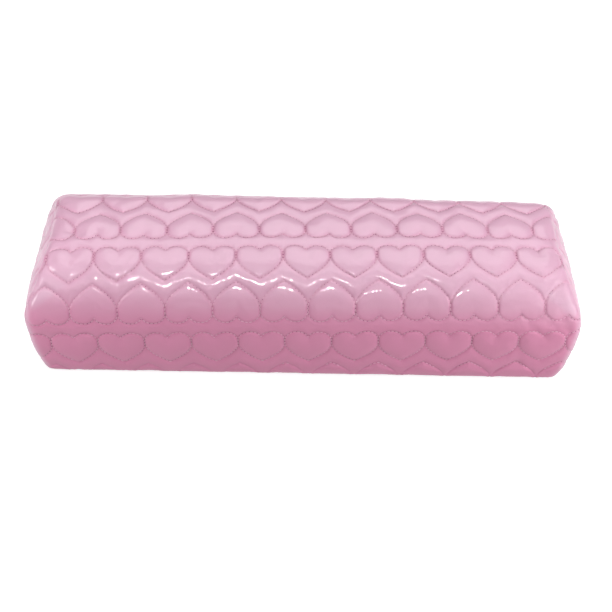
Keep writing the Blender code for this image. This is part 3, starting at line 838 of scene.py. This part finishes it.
section_marks = np.concatenate([[0.0], np.cumsum(STITCHED.runs)])
stations = along(np.concatenate([-section_marks[:0:-1], section_marks]), SEAM_STEP)
half_length = turn_start(np.array([HALF_GIRTH]))[0]
long_steps = along(np.array([-1.0, 1.0]), SEAM_STEP / half_length)
turn_steps = np.linspace(1.0, 2.0, round(END_RADIUS * QUARTER_TURN / SEAM_STEP) + 1)
t_steps = np.concatenate([-turn_steps[:0:-1], long_steps, turn_steps[1:]])
front_edge = wrap_edge_point(t_steps, np.full(t_steps.shape, -HALF_GIRTH))[:-1]
right_edge = wrap_edge_point(np.full(stations.shape, 2.0), stations)[:-1]
wrap_outline = np.concatenate([front_edge, right_edge, -front_edge, -right_edge])
wrap_outline = turned(wrap_outline, -QUILT_TURN)
wrap = make_quilted_panel("cover_wrap", wrap_outline, 0.0, drape_wrap)

# %% [markdown]
# ## The end covers
#
# Each end is closed by a panel of the same goods, sewn in just inside the wrap's round turn.
# It is the section's own shape, a little full in the middle where the foam pushes out. The
# left panel is the right one turned half round, so one drape function with a side serves
# both, and the cloth is simulated for each in place.

# %% Make the end covers
END_BULGE = 0.0015
BULGE_REACH = 0.0250
FOOT_STEPS = 40
END_SECTION = LoafSection(END_RADIUS + SEAM_GAP, SEAM_GAP)


def section_loop(section, marks):
    """The section's outline (y, z) from the front seam over the crown to the back seam."""
    run, share = STITCHED.find(marks)
    point, _ = section.place(run, share)
    return np.stack([point[:, 0] * np.where(marks < 0, -1.0, 1.0), point[:, 1]], axis=1)


end_outline = section_loop(END_SECTION, stations)[::-1]
foot_line = np.linspace(end_outline[-1, 0], end_outline[0, 0], FOOT_STEPS)[1:-1]
foot_line = np.column_stack([foot_line, np.full(len(foot_line), end_outline[0, 1])])
end_outline = np.concatenate([end_outline, foot_line])


def drape_end(side):
    """A function that lays flat goods (y, z) on the end at that side."""
    def drape(flat, rise, depth):
        """Places on the end, and the direction out of it."""
        bulge = END_BULGE * ease(distance_to(flat, end_outline) / BULGE_REACH)
        z = np.maximum(flat[:, 1], depth + SEAM_GAP)
        x = end_reach(flat[:, 0], flat[:, 1]) + bulge + rise - depth
        places = np.stack([side * x, side * flat[:, 0], z], axis=1)
        places[:, 0] += side * soft_waves(places)
        places = sag(places)
        return places, np.tile([float(side), 0.0, 0.0], (len(flat), 1))
    return drape


end_first = END_ROW_HEIGHT + LOBE_STEP
end_covers = {
    "right": make_quilted_panel("cover_end_right", end_outline, end_first, drape_end(1)),
    "left": make_quilted_panel("cover_end_left", end_outline, end_first, drape_end(-1)),
}

# %% [markdown]
# ## The base panel
#
# Underneath, where it can't be seen on a table, the rest is closed by a plain panel of the
# same imitation leather. It lies flat, because the rest stands on it, and only its edge
# rolls up into the seam. The panel is cut like the others, but it has no hearts and needs
# no filling, so its places are written down directly.

# %% Make the base panel
BASE_STEP = 0.0030
BASE_SEAM_ROLL = 0.0008
BASE_ROLL_WIDTH = 0.0035


def base_edge(depth, t):
    """The base's outline (x, y) at a depth, against the clock, a gap inside the other seams."""
    seam = drape_on_loaf(wrap_edge_point(t, np.full(t.shape, HALF_GIRTH)), 0.0, depth)[0][:, :2]
    corner = seam[-1, 1]
    across = along(np.array([-corner, corner]), SEAM_STEP)[1:-1]
    right_end = np.stack([end_reach(across, np.full(across.shape, depth)) - depth, across], axis=1)
    loop = np.concatenate([seam * np.array([1.0, -1.0]), right_end, seam[::-1], -right_end])
    run = np.roll(loop, -1, axis=0) - np.roll(loop, 1, axis=0)
    inward = np.stack([-run[:, 1], run[:, 0]], axis=1) / np.hypot(run[:, 0], run[:, 1])[:, None]
    return loop + 2 * SEAM_GAP * inward


def make_base(name):
    """The base panel: flat in the middle, with its edge rolled up into the seam."""
    outline = base_edge(0.0, t_steps)
    lattice = lattice_points(outline.min(axis=0), outline.max(axis=0), BASE_STEP)
    lattice = lattice[is_inside(lattice, outline) & (distance_to(lattice, outline) > BORDER_CLEARANCE)]
    flat, faces, _ = triangulate(np.concatenate([outline, lattice]), len(outline))
    faces = [tuple(reversed(face)) for face in faces]
    roll = np.clip(1 - distance_to(flat, outline) / BASE_ROLL_WIDTH, 0.0, 1.0) ** 2
    lower = np.column_stack([flat, BASE_SEAM_ROLL * roll])
    inner_edge = base_edge(WALL, t_steps)
    border = border_walk(faces)
    upper = np.column_stack([inner_edge, np.full(len(inner_edge), WALL)])
    count = len(lower)
    closed = list(faces) + [tuple(range(count, count + len(upper)))]
    for place, here in enumerate(border):
        ahead = border[(place + 1) % len(border)]
        closed.append((ahead, here, here + count, ahead + count))
    mesh = bpy.data.meshes.new(name)
    mesh.from_pydata(np.concatenate([lower, upper]).tolist(), [], closed)
    shaped = bmesh.new()
    shaped.from_mesh(mesh)
    bmesh.ops.triangulate(shaped, faces=[face for face in shaped.faces if len(face.verts) > 4])
    shaped.to_mesh(mesh)
    shaped.free()
    mesh.shade_smooth()
    return add_object(name, mesh)


base_cover = make_base("cover_base")
print("Base panel has", len(base_cover.data.polygons), "faces")

# %% [markdown]
# ## Stitches by Geometry Nodes
#
# Quilting thread shows as a row of small beads: each stitch rises out of one needle hole and
# dives into the next. Thousands of equal pieces that follow a path are work for Geometry
# Nodes. The stitch lines become a mesh of edges that carries the goods' outward direction,
# the tree turns them into curves, resamples them at half the stitch pitch and puts beads
# and shaded needle holes on the points in turn, laid along the line and facing out.

# %% Build the stitch tree
BEAD_SIDES = 6
BEAD_RINGS = 4
BEAD_SIZES = (0.9, 1.08)
HOLE_SIDES = 6
HOLE_RINGS = 3
HOLE_SPREAD = (0.00052, 0.00052, 0.00022)
THREAD_SEED = 11


def add_node(tree, kind, values=None, **settings):
    """A new node in a tree, with its settings and the values of its unlinked inputs."""
    node = tree.nodes.new(kind)
    for name, setting in settings.items():
        setattr(node, name, setting)
    for socket, value in (values or {}).items():
        node.inputs[socket].default_value = value
    return node


def new_tree(name):
    """An empty tree with the inputs that a line of stitches needs, and its two end nodes."""
    tree = bpy.data.node_groups.new(name, "GeometryNodeTree")
    sockets = tree.interface
    sockets.new_socket("Geometry", in_out="INPUT", socket_type="NodeSocketGeometry")
    for socket in ("Stitch Pitch", "Bead Length", "Bead Width", "Bead Height"):
        sockets.new_socket(socket, in_out="INPUT", socket_type="NodeSocketFloat")
    for socket in ("Thread", "Hole"):
        sockets.new_socket(socket, in_out="INPUT", socket_type="NodeSocketMaterial")
    sockets.new_socket("Geometry", in_out="OUTPUT", socket_type="NodeSocketGeometry")
    return tree, tree.nodes.new("NodeGroupInput"), tree.nodes.new("NodeGroupOutput")


def even_points(tree, start):
    """The lines as a curve with points at half the stitch pitch, and 1 at every second point."""
    link = tree.links.new
    to_curve = tree.nodes.new("GeometryNodeMeshToCurve")
    link(start.outputs["Geometry"], to_curve.inputs["Mesh"])
    even = add_node(tree, "GeometryNodeResampleCurve", mode="LENGTH")
    link(to_curve.outputs["Curve"], even.inputs["Curve"])
    half_pitch = add_node(tree, "ShaderNodeMath", {1: 0.5}, operation="MULTIPLY")
    link(start.outputs["Stitch Pitch"], half_pitch.inputs[0])
    link(half_pitch.outputs["Value"], even.inputs["Length"])
    spline = tree.nodes.new("GeometryNodeSplineParameter")
    odd = add_node(tree, "ShaderNodeMath", {1: 2.0}, operation="MODULO")
    link(spline.outputs["Index"], odd.inputs[0])
    return even.outputs["Curve"], odd.outputs["Value"]


def line_rotation(tree):
    """A rotation with X along the line and Z out of the goods."""
    link = tree.links.new
    outward = add_node(
        tree, "GeometryNodeInputNamedAttribute", {"Name": "outward"}, data_type="FLOAT_VECTOR")
    tangent = tree.nodes.new("GeometryNodeInputTangent")
    lay = add_node(tree, "FunctionNodeAlignRotationToVector", axis="X")
    link(tangent.outputs["Tangent"], lay.inputs["Vector"])
    face = add_node(tree, "FunctionNodeAlignRotationToVector", axis="Z", pivot_axis="X")
    link(lay.outputs["Rotation"], face.inputs["Rotation"])
    link(outward.outputs["Attribute"], face.inputs["Vector"])
    return face.outputs["Rotation"]


def bead_shape(tree, start):
    """One bead of thread: a ball turned to lie along X and stretched to its three sizes."""
    link = tree.links.new
    ball = {"Segments": BEAD_SIDES, "Rings": BEAD_RINGS, "Radius": 0.5}
    bead = add_node(tree, "GeometryNodeMeshUVSphere", ball)
    lengthways = add_node(tree, "GeometryNodeTransform", {"Rotation": (0.0, QUARTER_TURN, 0.0)})
    link(bead.outputs["Mesh"], lengthways.inputs["Geometry"])
    size = tree.nodes.new("ShaderNodeCombineXYZ")
    for axis, socket in zip("XYZ", ("Bead Length", "Bead Width", "Bead Height")):
        link(start.outputs[socket], size.inputs[axis])
    sized = tree.nodes.new("GeometryNodeTransform")
    link(lengthways.outputs["Geometry"], sized.inputs["Geometry"])
    link(size.outputs["Vector"], sized.inputs["Scale"])
    return sized.outputs["Geometry"]


def hole_shape(tree):
    """One needle hole: a small flat ball whose dark finish is painted shade, so that it looks like a
    dent.
    """
    ball = {"Segments": HOLE_SIDES, "Rings": HOLE_RINGS, "Radius": 0.5}
    hole = add_node(tree, "GeometryNodeMeshUVSphere", ball)
    spread = add_node(tree, "GeometryNodeTransform", {"Scale": HOLE_SPREAD})
    tree.links.new(hole.outputs["Mesh"], spread.inputs["Geometry"])
    return spread.outputs["Geometry"]


def bead_tree():
    """A node tree that lays beads, with needle holes between them, along edges."""
    tree, start, end = new_tree("thread_beads")
    link = tree.links.new
    curve, odd = even_points(tree, start)
    is_bead = add_node(tree, "FunctionNodeCompare", {"B": 0.5}, operation="LESS_THAN")
    link(odd, is_bead.inputs["A"])
    rotation = line_rotation(tree)
    sizes = {"Min": BEAD_SIZES[0], "Max": BEAD_SIZES[1], "Seed": THREAD_SEED}
    vary = add_node(tree, "FunctionNodeRandomValue", sizes, data_type="FLOAT")
    joined = tree.nodes.new("GeometryNodeJoinGeometry")
    for shape, chosen, material in (
        (bead_shape(tree, start), is_bead.outputs["Result"], "Thread"),
        (hole_shape(tree), odd, "Hole"),
    ):
        place = tree.nodes.new("GeometryNodeInstanceOnPoints")
        link(curve, place.inputs["Points"])
        link(chosen, place.inputs["Selection"])
        link(shape, place.inputs["Instance"])
        link(rotation, place.inputs["Rotation"])
        link(vary.outputs["Value"], place.inputs["Scale"])
        real = tree.nodes.new("GeometryNodeRealizeInstances")
        link(place.outputs["Instances"], real.inputs["Geometry"])
        finish = tree.nodes.new("GeometryNodeSetMaterial")
        link(real.outputs["Geometry"], finish.inputs["Geometry"])
        link(start.outputs[material], finish.inputs["Material"])
        link(finish.outputs["Geometry"], joined.inputs["Geometry"])
    smooth = tree.nodes.new("GeometryNodeSetShadeSmooth")
    link(joined.outputs["Geometry"], smooth.inputs["Geometry"])
    link(smooth.outputs["Geometry"], end.inputs["Geometry"])
    return tree


BEADS = bead_tree()
print("The stitch tree has", len(BEADS.nodes), "nodes")

# %% [markdown]
# ## Sew the panels
#
# The thread lines are the hearts again, each a hair inside its own outline, so that two
# threads lie side by side where two hearts touch. Lines stop short of the seams and of the
# underside. Once the tree has run, its result is kept as a plain mesh and the modifier goes,
# because what is exported has to be real geometry.

# %% Lay the thread
BEAD_LENGTH = 0.0016
BEAD_WIDTH = 0.00055
BEAD_HEIGHT = 0.00050
THREAD_SIDESTEP = 0.00016
THREAD_LIFT = 0.00002
THREAD_CLEAR_OF_SEAM = 0.0022
LOWEST_THREAD = 0.0090


def sew(name, outline, first, drape, thread, hole):
    """Thread beads and needle holes along a panel's stitch lines, as one plain mesh."""
    points = []
    outs = []
    edges = []
    total = 0
    inner_heart = HEART * (1 - 2 * THREAD_SIDESTEP / HEART_WIDTH)
    for place, way in heart_places(outline.min(axis=0), outline.max(axis=0), first):
        loop = place + inner_heart * way
        places, out = drape(loop, THREAD_LIFT, 0.0)
        shown = is_inside(loop, outline) & (distance_to(loop, outline) > THREAD_CLEAR_OF_SEAM)
        shown &= places[:, 2] > LOWEST_THREAD
        points.append(places)
        outs.append(out)
        for k in range(len(loop)):
            ahead = (k + 1) % len(loop)
            if shown[k] and shown[ahead]:
                edges.append((total + k, total + ahead))
        total += len(loop)
    mesh = bpy.data.meshes.new(name)
    mesh.from_pydata(np.concatenate(points).tolist(), edges, [])
    outward = mesh.attributes.new("outward", "FLOAT_VECTOR", "POINT")
    outward.data.foreach_set("vector", np.concatenate(outs).astype(np.float32).ravel())
    lines = add_object(name + "_lines", mesh)
    beads = lines.modifiers.new("beads", "NODES")
    beads.node_group = BEADS
    values = {
        "Stitch Pitch": STITCH_PITCH,
        "Bead Length": BEAD_LENGTH,
        "Bead Width": BEAD_WIDTH,
        "Bead Height": BEAD_HEIGHT,
        "Thread": thread,
        "Hole": hole,
    }
    for item in BEADS.interface.items_tree:
        if item.in_out == "INPUT" and item.name in values:
            beads[item.identifier] = values[item.name]
    shaped = lines.evaluated_get(bpy.context.evaluated_depsgraph_get())
    sewn = add_object(name, bpy.data.meshes.new_from_object(shaped))
    bpy.data.objects.remove(lines, do_unlink=True)
    print(name, "has", sum(len(face.vertices) - 2 for face in sewn.data.polygons), "triangles")
    return sewn


thread_finish = bpy.data.materials.new("quilting_thread")
hole_finish = bpy.data.materials.new("needle_hole_painted_shade")
threads = {
    "wrap": sew("thread_wrap", wrap_outline, 0.0, drape_wrap, thread_finish, hole_finish),
    "right": sew("thread_end_right", end_outline, end_first, drape_end(1), thread_finish, hole_finish),
    "left": sew("thread_end_left", end_outline, end_first, drape_end(-1), thread_finish, hole_finish),
}

# %% [markdown]
# ## Finish: glossy imitation leather
#
# The goods are a fabric coated with pink plastic: an even colour, a very fine pressed grain
# and a clear, wet-looking skin. A Principled shader with a coat gives both the soft colour
# under the skin and the sharp lamp lines on it. Noise and cells on Object coordinates make
# the grain at its real size, without a picture. Two attributes steer the colour, and both are
# painted light. Painted shade deepens it along the stitches, most of all where two hearts
# touch. A painted sheen makes it paler on the top, on the ends and on the stretched corners,
# far paler than light alone would make them.

# %% Finish the cover
VINYL_PINK = (0.82, 0.29, 0.48, 1.0)
# The pale colour is the painted sheen on the top, the ends and the upper corners.
VINYL_PAINTED_SHEEN = (0.86, 0.51, 0.67, 1.0)
# The deep colour is both a deeper random tone and the painted shade along the stitches.
VINYL_DEEP_TONE_AND_SHADE = (0.64, 0.17, 0.35, 1.0)
VINYL_ROUGHNESS = 0.50
SKIN_WEIGHT = 0.5
ROUGHNESS_CHANGE = 0.05
SKIN_ROUGHNESS = 0.05
CLOUDS_PER_METRE = 40.0
CLOUD_TINT = 0.14
# How far the painted shade beside the stitches deepens the colour.
STITCH_PAINTED_SHADE = 0.62
# A bump is written as its height in metres and its strength.
RIPPLES_PER_METRE = 260.0
RIPPLE_BUMP = (0.00035, 0.5)
GRAIN_CELLS_PER_METRE = 1500.0
GRAIN_BUMP = (0.00006, 0.6)


def new_finish(material):
    """The material's node tree and its Principled shader, on a clean start."""
    material.use_nodes = True
    tree = material.node_tree
    return tree, tree.nodes["Principled BSDF"]


def object_noise(tree, scale, detail=0.0, kind="ShaderNodeTexNoise"):
    """A noise or cell texture on Object coordinates."""
    spot = tree.nodes.new("ShaderNodeTexCoord")
    texture = tree.nodes.new(kind)
    texture.inputs["Scale"].default_value = scale
    if "Detail" in texture.inputs:
        texture.inputs["Detail"].default_value = detail
    tree.links.new(spot.outputs["Object"], texture.inputs["Vector"])
    return texture


def mix_colours(tree, share, first, second):
    """A colour between two, by a share from another node."""
    mix = add_node(tree, "ShaderNodeMix", data_type="RGBA")
    tree.links.new(share, mix.inputs["Factor"])
    for socket, colour in ((mix.inputs["A"], first), (mix.inputs["B"], second)):
        if isinstance(colour, tuple):
            socket.default_value = colour
        else:
            tree.links.new(colour, socket)
    return mix.outputs["Result"]


def map_range(tree, value, low, high, start=0.0, stop=1.0):
    """A value from start to stop spread from low to high."""
    ends = {"From Min": start, "From Max": stop, "To Min": low, "To Max": high}
    node = add_node(tree, "ShaderNodeMapRange", ends)
    tree.links.new(value, node.inputs["Value"])
    return node.outputs["Result"]


def add_bumps(tree, shader, heights):
    """Chains bumps from (height output, distance in metres, strength) onto the shader."""
    normal = None
    for height, distance, strength in heights:
        bump = add_node(tree, "ShaderNodeBump", {"Strength": strength, "Distance": distance})
        tree.links.new(height, bump.inputs["Height"])
        if normal is not None:
            tree.links.new(normal, bump.inputs["Normal"])
        normal = bump.outputs["Normal"]
    tree.links.new(normal, shader.inputs["Normal"])


def finish_vinyl(name):
    """The cover's glossy pink imitation leather."""
    material = bpy.data.materials.new(name)
    tree, shader = new_finish(material)
    clouds = object_noise(tree, CLOUDS_PER_METRE, detail=3.0).outputs["Fac"]
    # Painted sheen: paler on the top, the ends and the upper corners.
    pale = add_node(tree, "ShaderNodeAttribute", attribute_name="painted_sheen_share")
    pink = mix_colours(tree, pale.outputs["Fac"], VINYL_PINK, VINYL_PAINTED_SHEEN)
    tone = mix_colours(tree, map_range(tree, clouds, 0.0, CLOUD_TINT), pink, VINYL_DEEP_TONE_AND_SHADE)
    # Painted shade: deeper colour along the stitch valleys, deepest where two hearts touch.
    stitches = add_node(tree, "ShaderNodeAttribute", attribute_name="painted_stitch_shade")
    shade = map_range(tree, stitches.outputs["Fac"], 0.0, STITCH_PAINTED_SHADE)
    tree.links.new(mix_colours(tree, shade, tone, VINYL_DEEP_TONE_AND_SHADE), shader.inputs["Base Color"])
    least = VINYL_ROUGHNESS - ROUGHNESS_CHANGE
    most = VINYL_ROUGHNESS + ROUGHNESS_CHANGE
    tree.links.new(map_range(tree, clouds, least, most), shader.inputs["Roughness"])
    shader.inputs["Coat Weight"].default_value = SKIN_WEIGHT
    shader.inputs["Coat Roughness"].default_value = SKIN_ROUGHNESS
    cells = object_noise(tree, GRAIN_CELLS_PER_METRE, kind="ShaderNodeTexVoronoi")
    ripples = object_noise(tree, RIPPLES_PER_METRE, detail=4.0)
    add_bumps(tree, shader, [
        (ripples.outputs["Fac"], *RIPPLE_BUMP),
        (cells.outputs["Distance"], *GRAIN_BUMP),
    ])
    return material


vinyl = finish_vinyl("quilted_vinyl_finish")
for panel in [wrap, *end_covers.values()]:
    panel.data.materials.append(vinyl)
print("Cover finish on", 1 + len(end_covers), "panels")

# %% [markdown]
# ## Finishes: base, thread and foam
#
# The base is the same coating without quilting, a little duller because it rubs on the
# table. Thread is polyester, duller than the skin and paler than the seams it lies in. The
# foam can't be seen in the closed rest, but it carries its open cells all the same, so that
# a cut or open view of the part is right.

# %% Finish the base, the thread and the foam
BASE_PINK = (0.74, 0.32, 0.48, 1.0)
BASE_TINT = 0.35
BASE_ROUGHNESS = (0.42, 0.58)
BASE_BUMP = (0.00012, 0.8)
THREAD_PINK = (0.90, 0.58, 0.70, 1.0)
THREAD_DEEP = (0.78, 0.36, 0.52, 1.0)
THREAD_TINT = 0.8
THREAD_ROUGHNESS = 0.38
FIBRES_PER_METRE = 2600.0
FIBRE_BUMP = (0.00005, 0.7)
# The hole colour is painted shade: a dark disc where a real hole is dark only from its shadow.
HOLE_PAINTED_SHADE = (0.42, 0.09, 0.22, 1.0)
HOLE_ROUGHNESS = 0.8
HOLE_SPECULAR = 0.1
PATCHES_PER_METRE = 90.0
PATCH_RANGE = (0.40, 0.62)
FOAM_CREAM = (0.86, 0.82, 0.66, 1.0)
FOAM_SHADE = (0.60, 0.55, 0.40, 1.0)
FOAM_ROUGHNESS = 0.95
FOAM_CELLS_PER_METRE = 900.0
FOAM_BUMP = (0.0006, 0.9)


def finish_base(name):
    """Plain imitation leather with a rubbed, satin skin."""
    material = bpy.data.materials.new(name)
    tree, shader = new_finish(material)
    clouds = object_noise(tree, CLOUDS_PER_METRE, detail=4.0).outputs["Fac"]
    tone = mix_colours(tree, map_range(tree, clouds, 0.0, BASE_TINT), BASE_PINK, VINYL_DEEP_TONE_AND_SHADE)
    tree.links.new(tone, shader.inputs["Base Color"])
    tree.links.new(map_range(tree, clouds, *BASE_ROUGHNESS), shader.inputs["Roughness"])
    cells = object_noise(tree, GRAIN_CELLS_PER_METRE, kind="ShaderNodeTexVoronoi")
    add_bumps(tree, shader, [(cells.outputs["Distance"], *BASE_BUMP)])
    return material


def finish_thread(material):
    """Twisted polyester thread."""
    tree, shader = new_finish(material)
    fibres = object_noise(tree, FIBRES_PER_METRE, detail=3.0).outputs["Fac"]
    tone = mix_colours(tree, map_range(tree, fibres, 0.0, THREAD_TINT), THREAD_PINK, THREAD_DEEP)
    tree.links.new(tone, shader.inputs["Base Color"])
    shader.inputs["Roughness"].default_value = THREAD_ROUGHNESS
    add_bumps(tree, shader, [(fibres, *FIBRE_BUMP)])


def finish_hole(material):
    """The painted shade inside a needle hole, lighter in places closed up by the coating."""
    tree, shader = new_finish(material)
    patches = object_noise(tree, PATCHES_PER_METRE, detail=2.0).outputs["Fac"]
    closed_share = map_range(tree, patches, 0.0, 1.0, *PATCH_RANGE)
    tone = mix_colours(tree, closed_share, HOLE_PAINTED_SHADE, THREAD_DEEP)
    tree.links.new(tone, shader.inputs["Base Color"])
    shader.inputs["Roughness"].default_value = HOLE_ROUGHNESS
    shader.inputs["Specular IOR Level"].default_value = HOLE_SPECULAR


def finish_foam(name):
    """Open-cell foam."""
    material = bpy.data.materials.new(name)
    tree, shader = new_finish(material)
    cells = object_noise(tree, FOAM_CELLS_PER_METRE, kind="ShaderNodeTexVoronoi").outputs["Distance"]
    tree.links.new(mix_colours(tree, cells, FOAM_SHADE, FOAM_CREAM), shader.inputs["Base Color"])
    shader.inputs["Roughness"].default_value = FOAM_ROUGHNESS
    add_bumps(tree, shader, [(cells, *FOAM_BUMP)])
    return material


base_cover.data.materials.append(finish_base("base_vinyl_finish"))
finish_thread(thread_finish)
finish_hole(hole_finish)
foam = frame["nodes"]["foam_core"]
foam_finish = finish_foam("foam_finish")
for place in foam.material_slots:
    place.material = foam_finish
print("Materials:", sorted(material.name for material in bpy.data.materials))

# %% [markdown]
# ## The table
#
# The photograph has a pure white ground. A floor that is white to the camera and to
# reflections, but still takes a soft shadow, gives that look without flooding the part with
# light. Its own colour is a middle grey, because a white floor would throw so much light at
# the front that the pink there would turn pale.

# %% Set the table
FLOOR_SIZE = 6.0
FLOOR_GLOW = 0.78
FLOOR_GREY = (0.45, 0.45, 0.45, 1.0)
FLOOR_ROUGHNESS = 0.9


def seen_plainly(tree):
    """1 for rays from the camera, off gloss or through glass, and 0 for light's own rays."""
    path = tree.nodes.new("ShaderNodeLightPath")
    total = path.outputs["Is Camera Ray"]
    for name in ("Is Glossy Ray", "Is Transmission Ray"):
        either = add_node(tree, "ShaderNodeMath", operation="MAXIMUM")
        tree.links.new(total, either.inputs[0])
        tree.links.new(path.outputs[name], either.inputs[1])
        total = either.outputs["Value"]
    return total


def make_floor():
    """A wide pale floor that looks white and keeps the rest's shadow."""
    mesh = bpy.data.meshes.new("table")
    half = FLOOR_SIZE / 2
    corners = [(-half, -half, 0.0), (half, -half, 0.0), (half, half, 0.0), (-half, half, 0.0)]
    mesh.from_pydata(corners, [], [(0, 1, 2, 3)])
    material = bpy.data.materials.new("table_white")
    tree, shader = new_finish(material)
    shader.inputs["Base Color"].default_value = FLOOR_GREY
    shader.inputs["Roughness"].default_value = FLOOR_ROUGHNESS
    shader.inputs["Specular IOR Level"].default_value = 0.0
    glow = tree.nodes.new("ShaderNodeEmission")
    strength = add_node(tree, "ShaderNodeMath", {1: FLOOR_GLOW}, operation="MULTIPLY")
    tree.links.new(seen_plainly(tree), strength.inputs[0])
    tree.links.new(strength.outputs["Value"], glow.inputs["Strength"])
    both = tree.nodes.new("ShaderNodeAddShader")
    tree.links.new(shader.outputs["BSDF"], both.inputs[0])
    tree.links.new(glow.outputs["Emission"], both.inputs[1])
    tree.links.new(both.outputs["Shader"], tree.nodes["Material Output"].inputs["Surface"])
    mesh.materials.append(material)
    return add_object("table", mesh)


floor = make_floor()
print("The table is", FLOOR_SIZE, "m wide and glows at", FLOOR_GLOW)

# %% [markdown]
# ## The light
#
# One tall soft lamp leans over the rest from behind, and its reflection is the pale sheen
# over the top. A narrow strip lamp hangs high in front and draws the thin bright lines along
# the front shoulder: it is set to light no diffuse surface, so it adds gloss and no colour.
# Two fills, low in front and to the right, light the front face, and two upright strips
# lift the ends and draw pale rims on the puffs beside them. The world lights the front more
# than the back, so that the front keeps its full colour. The camera sees it as plain white.

# %% Light it
WORLD_FRONT = 0.25
WORLD_BACK = 0.08
# Each lamp: its name, place, target, size in metres and power in watts.
LAMPS = (
    ("back_tent", (0.05, 0.62, 1.08), (0.0, 0.0, 0.05), (1.00, 1.20), 9.4),
    ("gloss_strip", (-0.05, -0.50, 1.05), (-0.05, -0.03, 0.06), (0.44, 0.022), 6.5),
    ("front_fill", (0.40, -1.50, 0.32), (0.0, -0.05, 0.03), (1.3, 0.5), 2.9),
    ("right_fill", (0.60, -0.55, 0.35), (0.0, 0.0, 0.03), (0.4, 0.4), 1.3),
    ("left_strip", (-0.36, -0.14, 0.22), (-0.13, 0.0, 0.05), (0.03, 0.30), 0.50),
    ("right_strip", (0.36, -0.14, 0.22), (0.13, 0.0, 0.05), (0.03, 0.30), 0.42),
)


def make_lamp(name, place, target, size, power):
    """A rectangular area lamp at a place, turned to its target."""
    data = bpy.data.lights.new(name, "AREA")
    data.shape = "RECTANGLE"
    data.size, data.size_y = size
    data.energy = power
    lamp = add_object(name, data)
    lamp.location = place
    lamp.rotation_euler = (Vector(target) - Vector(place)).to_track_quat("-Z", "Y").to_euler()
    return lamp


def light_world(world):
    """Lights the front more than the back, and shows the camera plain white."""
    world.use_nodes = True
    sky = world.node_tree
    link = sky.links.new
    direction = sky.nodes.new("ShaderNodeTexCoord")
    parts = sky.nodes.new("ShaderNodeSeparateXYZ")
    link(direction.outputs["Generated"], parts.inputs["Vector"])
    light = map_range(sky, parts.outputs["Y"], WORLD_FRONT, WORLD_BACK, start=-1.0)
    seen = sky.nodes.new("ShaderNodeLightPath")
    strength = add_node(sky, "ShaderNodeMix", {"B": 1.0})
    link(seen.outputs["Is Camera Ray"], strength.inputs["Factor"])
    link(light, strength.inputs["A"])
    backdrop = sky.nodes["Background"]
    link(strength.outputs["Result"], backdrop.inputs["Strength"])
    backdrop.inputs["Color"].default_value = (1.0, 1.0, 1.0, 1.0)


lamps = {lamp_facts[0]: make_lamp(*lamp_facts) for lamp_facts in LAMPS}
lamps["gloss_strip"].visible_diffuse = False
world = bpy.data.worlds.new("studio")
bpy.context.scene.world = world
light_world(world)
bpy.context.scene.view_settings.view_transform = "Standard"
print("Lamps:", sorted(lamps))

# %% [markdown]
# ## The camera
#
# The camera was fitted to the photograph: its place, its look down, a slight turn and a
# slight roll make the rest's outline and its stitched rows fall where the picture has them.
# The lens follows from how much the far edge is smaller than the near one.

# %% Place the camera
CAMERA_PLACE = (-0.0101, -0.5296, 0.4692)
CAMERA_DOWN = 0.7140
CAMERA_YAW = 0.0225
CAMERA_ROLL = -0.0329
CAMERA_LENS = 70.6
SENSOR_WIDTH = 36.0


def camera_turn(down, yaw, roll):
    """The camera's rotation for a look down by an angle, turned to the right and rolled."""
    forward = Vector((math.sin(yaw) * math.cos(down), math.cos(yaw) * math.cos(down), -math.sin(down)))
    right = forward.cross(Vector((0.0, 0.0, 1.0))).normalized()
    below = forward.cross(right)
    rolled_right = right * math.cos(roll) + below * math.sin(roll)
    rolled_below = below * math.cos(roll) - right * math.sin(roll)
    return Matrix((rolled_right, -rolled_below, -forward)).transposed()


camera_data = bpy.data.cameras.new("camera")
camera_data.lens = CAMERA_LENS
camera_data.sensor_width = SENSOR_WIDTH
camera = add_object("camera", camera_data)
camera.location = CAMERA_PLACE
camera.rotation_euler = camera_turn(CAMERA_DOWN, CAMERA_YAW, CAMERA_ROLL).to_euler()
bpy.context.scene.camera = camera
print("Camera", round(camera.location.length, 3), "m from the rest's middle, lens", CAMERA_LENS, "mm")

# %% [markdown]
# ## Join the pieces to the part
#
# Every piece rides on the part's one body. Each cover panel stands for its plain CAD solid,
# which stays in the physics and is hidden here. The foam fills the quilted panels tightly.

# %% Join the pieces to the part
stands_for = {
    wrap: "main_panel",
    end_covers["left"]: "end_panel_left",
    end_covers["right"]: "end_panel_right",
    base_cover: "base_panel",
}
for panel, node in stands_for.items():
    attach(panel, "root")
    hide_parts(node)
for line in threads.values():
    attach(line, "root")
